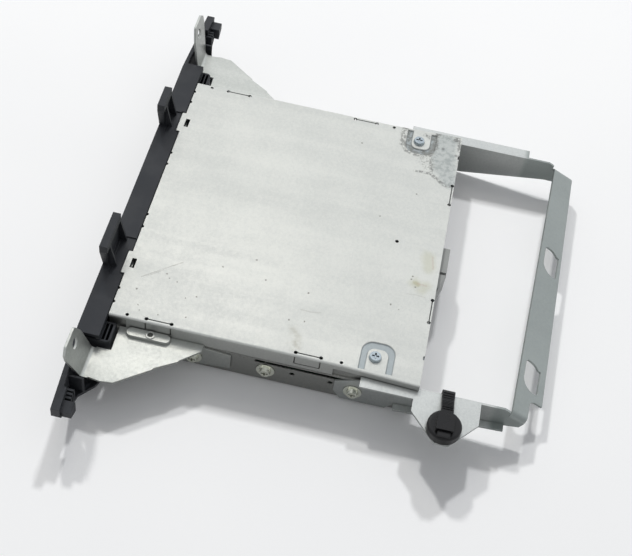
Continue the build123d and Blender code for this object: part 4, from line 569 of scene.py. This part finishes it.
# %% Helpers for new pieces
def grid_faces(copies, rows, columns, closed_rows=False):
    """Four-cornered faces of copies of a grid whose columns go once round.

    Point (row, column) of a copy has the number row times columns + column. With closed_rows
    the last row joins the first one as well.
    """
    row = np.arange(rows if closed_rows else rows - 1)[:, None]
    column = np.arange(columns)
    row, next_row = row * columns, (row + 1) % rows * columns
    next_column = (column + 1) % columns
    corners = [row + column, row + next_column, next_row + next_column, next_row + column]
    face = np.stack(corners, axis=-1).reshape(-1, 4)
    return (face + (np.arange(copies) * rows * columns)[:, None, None]).reshape(-1, 4)


def add_piece(name, points, faces, finish):
    """A smooth piece from points and faces, its doubles merged; prints how closed it is."""
    mesh = bpy.data.meshes.new(name)
    mesh.from_pydata(points.reshape(-1, 3).tolist(), [], faces.tolist())
    welded = bmesh.new()
    welded.from_mesh(mesh)
    bmesh.ops.remove_doubles(welded, verts=welded.verts, dist=1e-6)
    open_edges = sum(not edge.is_manifold for edge in welded.edges)
    cubic_mm = welded.calc_volume(signed=True) * 1e9
    welded.to_mesh(mesh)
    welded.free()
    mesh.shade_smooth()
    mesh.materials.append(finish)
    piece = bpy.data.objects.new(name, mesh)
    bpy.context.scene.collection.objects.link(piece)
    print(name, "has", len(mesh.polygons), "faces, open edges:", open_edges)
    print("its volume in cubic mm, positive when its faces point outward:", round(cubic_mm, 1))
    return piece


print("helpers for pieces ready")

# %% [markdown]
# The strap of the harness clip is a ratchet band: small rounded teeth cross its upper side,
# so that the buckle can hold it at any length. Each tooth is a thin round bar laid half into
# the strap, narrowed to a point at both ends. All the bars are worked out at once as one
# grid of points, and the seam and the points of each are closed.

# %% Teeth on the strap
def strap_teeth(path, width, tooth_r, pitch):
    """Round teeth across a band that follows a path of (x, z) points.

    Tooth k stands at distance k times pitch along the path. Its points are the place on the
    path plus tooth_r times (cos a along the path + sin a away from it) for a full turn of a,
    at each step across the width; the radius shrinks to zero at both ends.
    """
    legs = np.diff(path, axis=0)
    length = np.concatenate([[0], np.cumsum(np.hypot(*legs.T))])
    at = np.arange(pitch, length[-1] - pitch / 2, pitch)
    foot = np.stack([np.interp(at, length, path[:, k]) for k in (0, 1)], axis=1)
    leg = np.clip(np.searchsorted(length, at, side="right") - 1, 0, len(legs) - 1)
    along = legs[leg] / np.hypot(*legs[leg].T)[:, None]
    away = np.stack([along[:, 1], -along[:, 0]], axis=1)
    angle = np.radians(np.arange(0, 360, 30))
    across = np.array([-0.5, -0.49, -0.45, 0.45, 0.49, 0.5])
    taper = np.array([0.0, 0.6, 1.0, 1.0, 0.6, 0.0])
    ring = along[:, None] * np.cos(angle)[:, None] + away[:, None] * np.sin(angle)[:, None]
    place = foot[:, None, None] + tooth_r * ring[:, None] * taper[:, None, None]
    y = np.broadcast_to((across * width)[:, None], place.shape[:3])
    return np.stack([place[..., 0], y, place[..., 1]], axis=-1)


strap_low, strap_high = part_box("harness_clip_strap")
strap_width = strap_high.y - strap_low.y
first_tooth, slope_end, slope_start, last_tooth = 0.0008, 0.0066, 0.0146, 0.0168
step_down, covered_share, tooth_r, pitch = 0.0044, 0.86, 0.00042, 0.0015
strap_path = np.array([
    (strap_low.x + last_tooth, strap_high.z),
    (strap_low.x + slope_start, strap_high.z),
    (strap_low.x + slope_end, strap_high.z - step_down),
    (strap_low.x + first_tooth, strap_high.z - step_down),
])
points = strap_teeth(strap_path, strap_width * covered_share, tooth_r, pitch)
points[..., 1] += (strap_low.y + strap_high.y) / 2
faces = grid_faces(*points.shape[:3])
strap_ribs = add_piece("strap_teeth", points, faces, finishes["clip_plastic"])
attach(strap_ribs, "chassis")

# %% [markdown]
# The drive deck floats on four rubber bushes that stand on the floor of the housing. A plain
# hard ring would push through the floor when the deck sinks. On the real player the rubber
# gives way: the foot stays and the top goes down with the deck. Here each bush is a fixed ring
# with two soft grooves round it, standing between the housing and the deck.

# %% Rubber bushes under the deck
def ring_bushes(centres, profile, steps):
    """Rings swept from a closed profile of (radius, height) points, one round each centre.

    A point stands at the centre plus its radius times (cos a, sin a), at its own height, for
    a going once round in equal steps.
    """
    angle = np.arange(steps) * 2 * np.pi / steps
    way_out = np.stack([np.cos(angle), np.sin(angle)], axis=1)
    flat = centres[:, None, None] + profile[:, None, :1] * way_out
    height = np.broadcast_to(profile[:, 1][:, None], flat.shape[:3])
    return np.concatenate([flat, height[..., None]], axis=-1)


bush_low, bush_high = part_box("damper_bushes")
bush_r, bore_r, groove_depth, lip = 0.0042, 0.0020, 0.0006, 0.0003
rise = np.linspace(0, 1, 25)
grooved = bush_r - groove_depth * np.sin(2 * np.pi * rise) ** 2
grooved[[0, -1]] -= lip
outer = np.stack([grooved, bush_low.z + rise * (bush_high.z - bush_low.z)], axis=1)
inner = np.stack([np.full(5, bore_r), np.linspace(bush_high.z, bush_low.z, 5)], axis=1)
centres = np.array([
    (x, y)
    for x in (bush_low.x + bush_r, bush_high.x - bush_r)
    for y in (bush_low.y + bush_r, bush_high.y - bush_r)
])
points = ring_bushes(centres, np.concatenate([outer, inner]), 32)
faces = grid_faces(*points.shape[:3], closed_rows=True)
bushes = add_piece("rubber_bushes", points, faces, finishes["roller_rubber"])
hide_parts("damper_bushes")
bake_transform(bushes)

# %% [markdown]
# The player lies on a white table top, a plane that is large enough to fill the picture. Its
# white comes from its own colour, with a little extra that only the camera sees, so that the
# table looks white without more light on the player.

# %% Table
reach, drop, camera_glow = 3.0, 0.0002, 0.04
table = bpy.data.meshes.new("table")
corners = [(-reach, -reach, 0), (reach, -reach, 0), (reach, reach, 0), (-reach, reach, 0)]
table.from_pydata(corners, [], [(0, 1, 2, 3)])
table_top = bpy.data.objects.new("table_top", table)
table_top.location.z = -drop
bpy.context.scene.collection.objects.link(table_top)
material, tree, shader = new_finish("table_white", (0.95, 0.955, 0.96), 0.7, 0.0, 0.2)
faint = ramp(tree, noise(tree, 4, 3, 0.5), 0.3, 0.7)
white = mix(tree, faint, (0.925, 0.928, 0.933), (0.945, 0.947, 0.95))
tree.links.new(white, shader.inputs["Base Color"])
shader.inputs["Emission Color"].default_value = (1, 1, 1, 1)
ray = node(tree, "LightPath").outputs["Is Camera Ray"]
glow = compute(tree, "MULTIPLY", ray, camera_glow)
tree.links.new(glow, shader.inputs["Emission Strength"])
table.materials.append(material)
print("table set, its sides in metres:", 2 * reach)

# %% [markdown]
# The light is that of a bright room with two windows on the far side: two distant lamps, a
# little apart, throw the two soft shadows toward the camera. They are kept out of the
# reflections, so the sheen on the steel comes from a small warm bulb and from the pale
# world, which is brighter on the far side.

# %% Lamps
def area_lamp(name, place, aim, width, power, tint):
    """A square soft lamp at a place, turned to face the aim point."""
    lamp = bpy.data.lights.new(name, "AREA")
    lamp.size = width
    lamp.energy = power
    lamp.color = tint
    made = bpy.data.objects.new(name, lamp)
    made.location = place
    made.rotation_euler = (Vector(aim) - Vector(place)).to_track_quat("-Z", "Y").to_euler()
    bpy.context.scene.collection.objects.link(made)
    return made


window_width, window_power = 0.3, 88
for name, place, tint in (
    ("front_window", (-2.95, -1.70, 3.52), (1.0, 0.995, 0.98)),
    ("rear_window", (-3.40, 0.0, 3.52), (0.99, 0.995, 1.0)),
):
    window = area_lamp(name, place, (0, 0, 0), window_width, window_power, tint)
    window.visible_glossy = False
bulb_width, bulb_power = 0.35, 1.1
bulb_place, sheen_place = (-0.75, -0.28, 1.26), (0.09, -0.07, 0.03)
area_lamp("warm_bulb", bulb_place, sheen_place, bulb_width, bulb_power, (1.0, 0.95, 0.86))

# %% [markdown]
# The world fills the shadows at a low strength. Where the camera or a reflection looks
# straight at it, it is stronger, so that steel mirrors a bright room and the background
# stays pale, while the light that falls on the player stays plain.

# %% World
fill_strength, seen_extra = 0.38, 0.5
world = bpy.data.worlds.new("pale_room")
bpy.context.scene.world = world
world.use_nodes = True
sky = world.node_tree
ray = node(sky, "LightPath")
seen = compute(sky, "MAXIMUM", ray.outputs["Is Camera Ray"], ray.outputs["Is Glossy Ray"])
seen = compute(sky, "MAXIMUM", seen, ray.outputs["Is Transmission Ray"])
strength = compute(sky, "MULTIPLY_ADD", seen, seen_extra, fill_strength)
toward_lens = component(sky, node(sky, "TexCoord").outputs["Generated"], "X")
far_brighter = ramp(sky, toward_lens, -0.7, 0.9, 1.2, 0.65)
strength = compute(sky, "MULTIPLY", strength, far_brighter)
background = sky.nodes["Background"]
background.inputs["Color"].default_value = (0.95, 0.97, 1.0, 1)
sky.links.new(strength, background.inputs["Strength"])
bpy.context.scene.view_settings.view_transform = "Standard"
print("world:", world.name)

# %% [markdown]
# The camera looks down from the right side of the player at about fifty degrees, a little
# rolled, so that the front trim runs up the left of the picture. The picture is taken as
# 632 by 556 pixels, and the lens gives the focal length in those pixels.

# %% Camera
picture_width, focal_pixels, sensor_mm = 632, 1215.2, 36
camera_place, camera_turn = (0.43832, 0.01274, 0.52385), (38.546, -6.158, 101.162)
camera = bpy.data.objects.new("camera", bpy.data.cameras.new("camera"))
camera.data.sensor_width = sensor_mm
camera.data.lens = focal_pixels / picture_width * sensor_mm
camera.location = camera_place
camera.rotation_euler = Euler([radians(degrees) for degrees in camera_turn])
camera.data.clip_start, camera.data.clip_end = 0.01, 20
bpy.context.scene.collection.objects.link(camera)
bpy.context.scene.camera = camera
print("lens in mm:", round(camera.data.lens, 2))
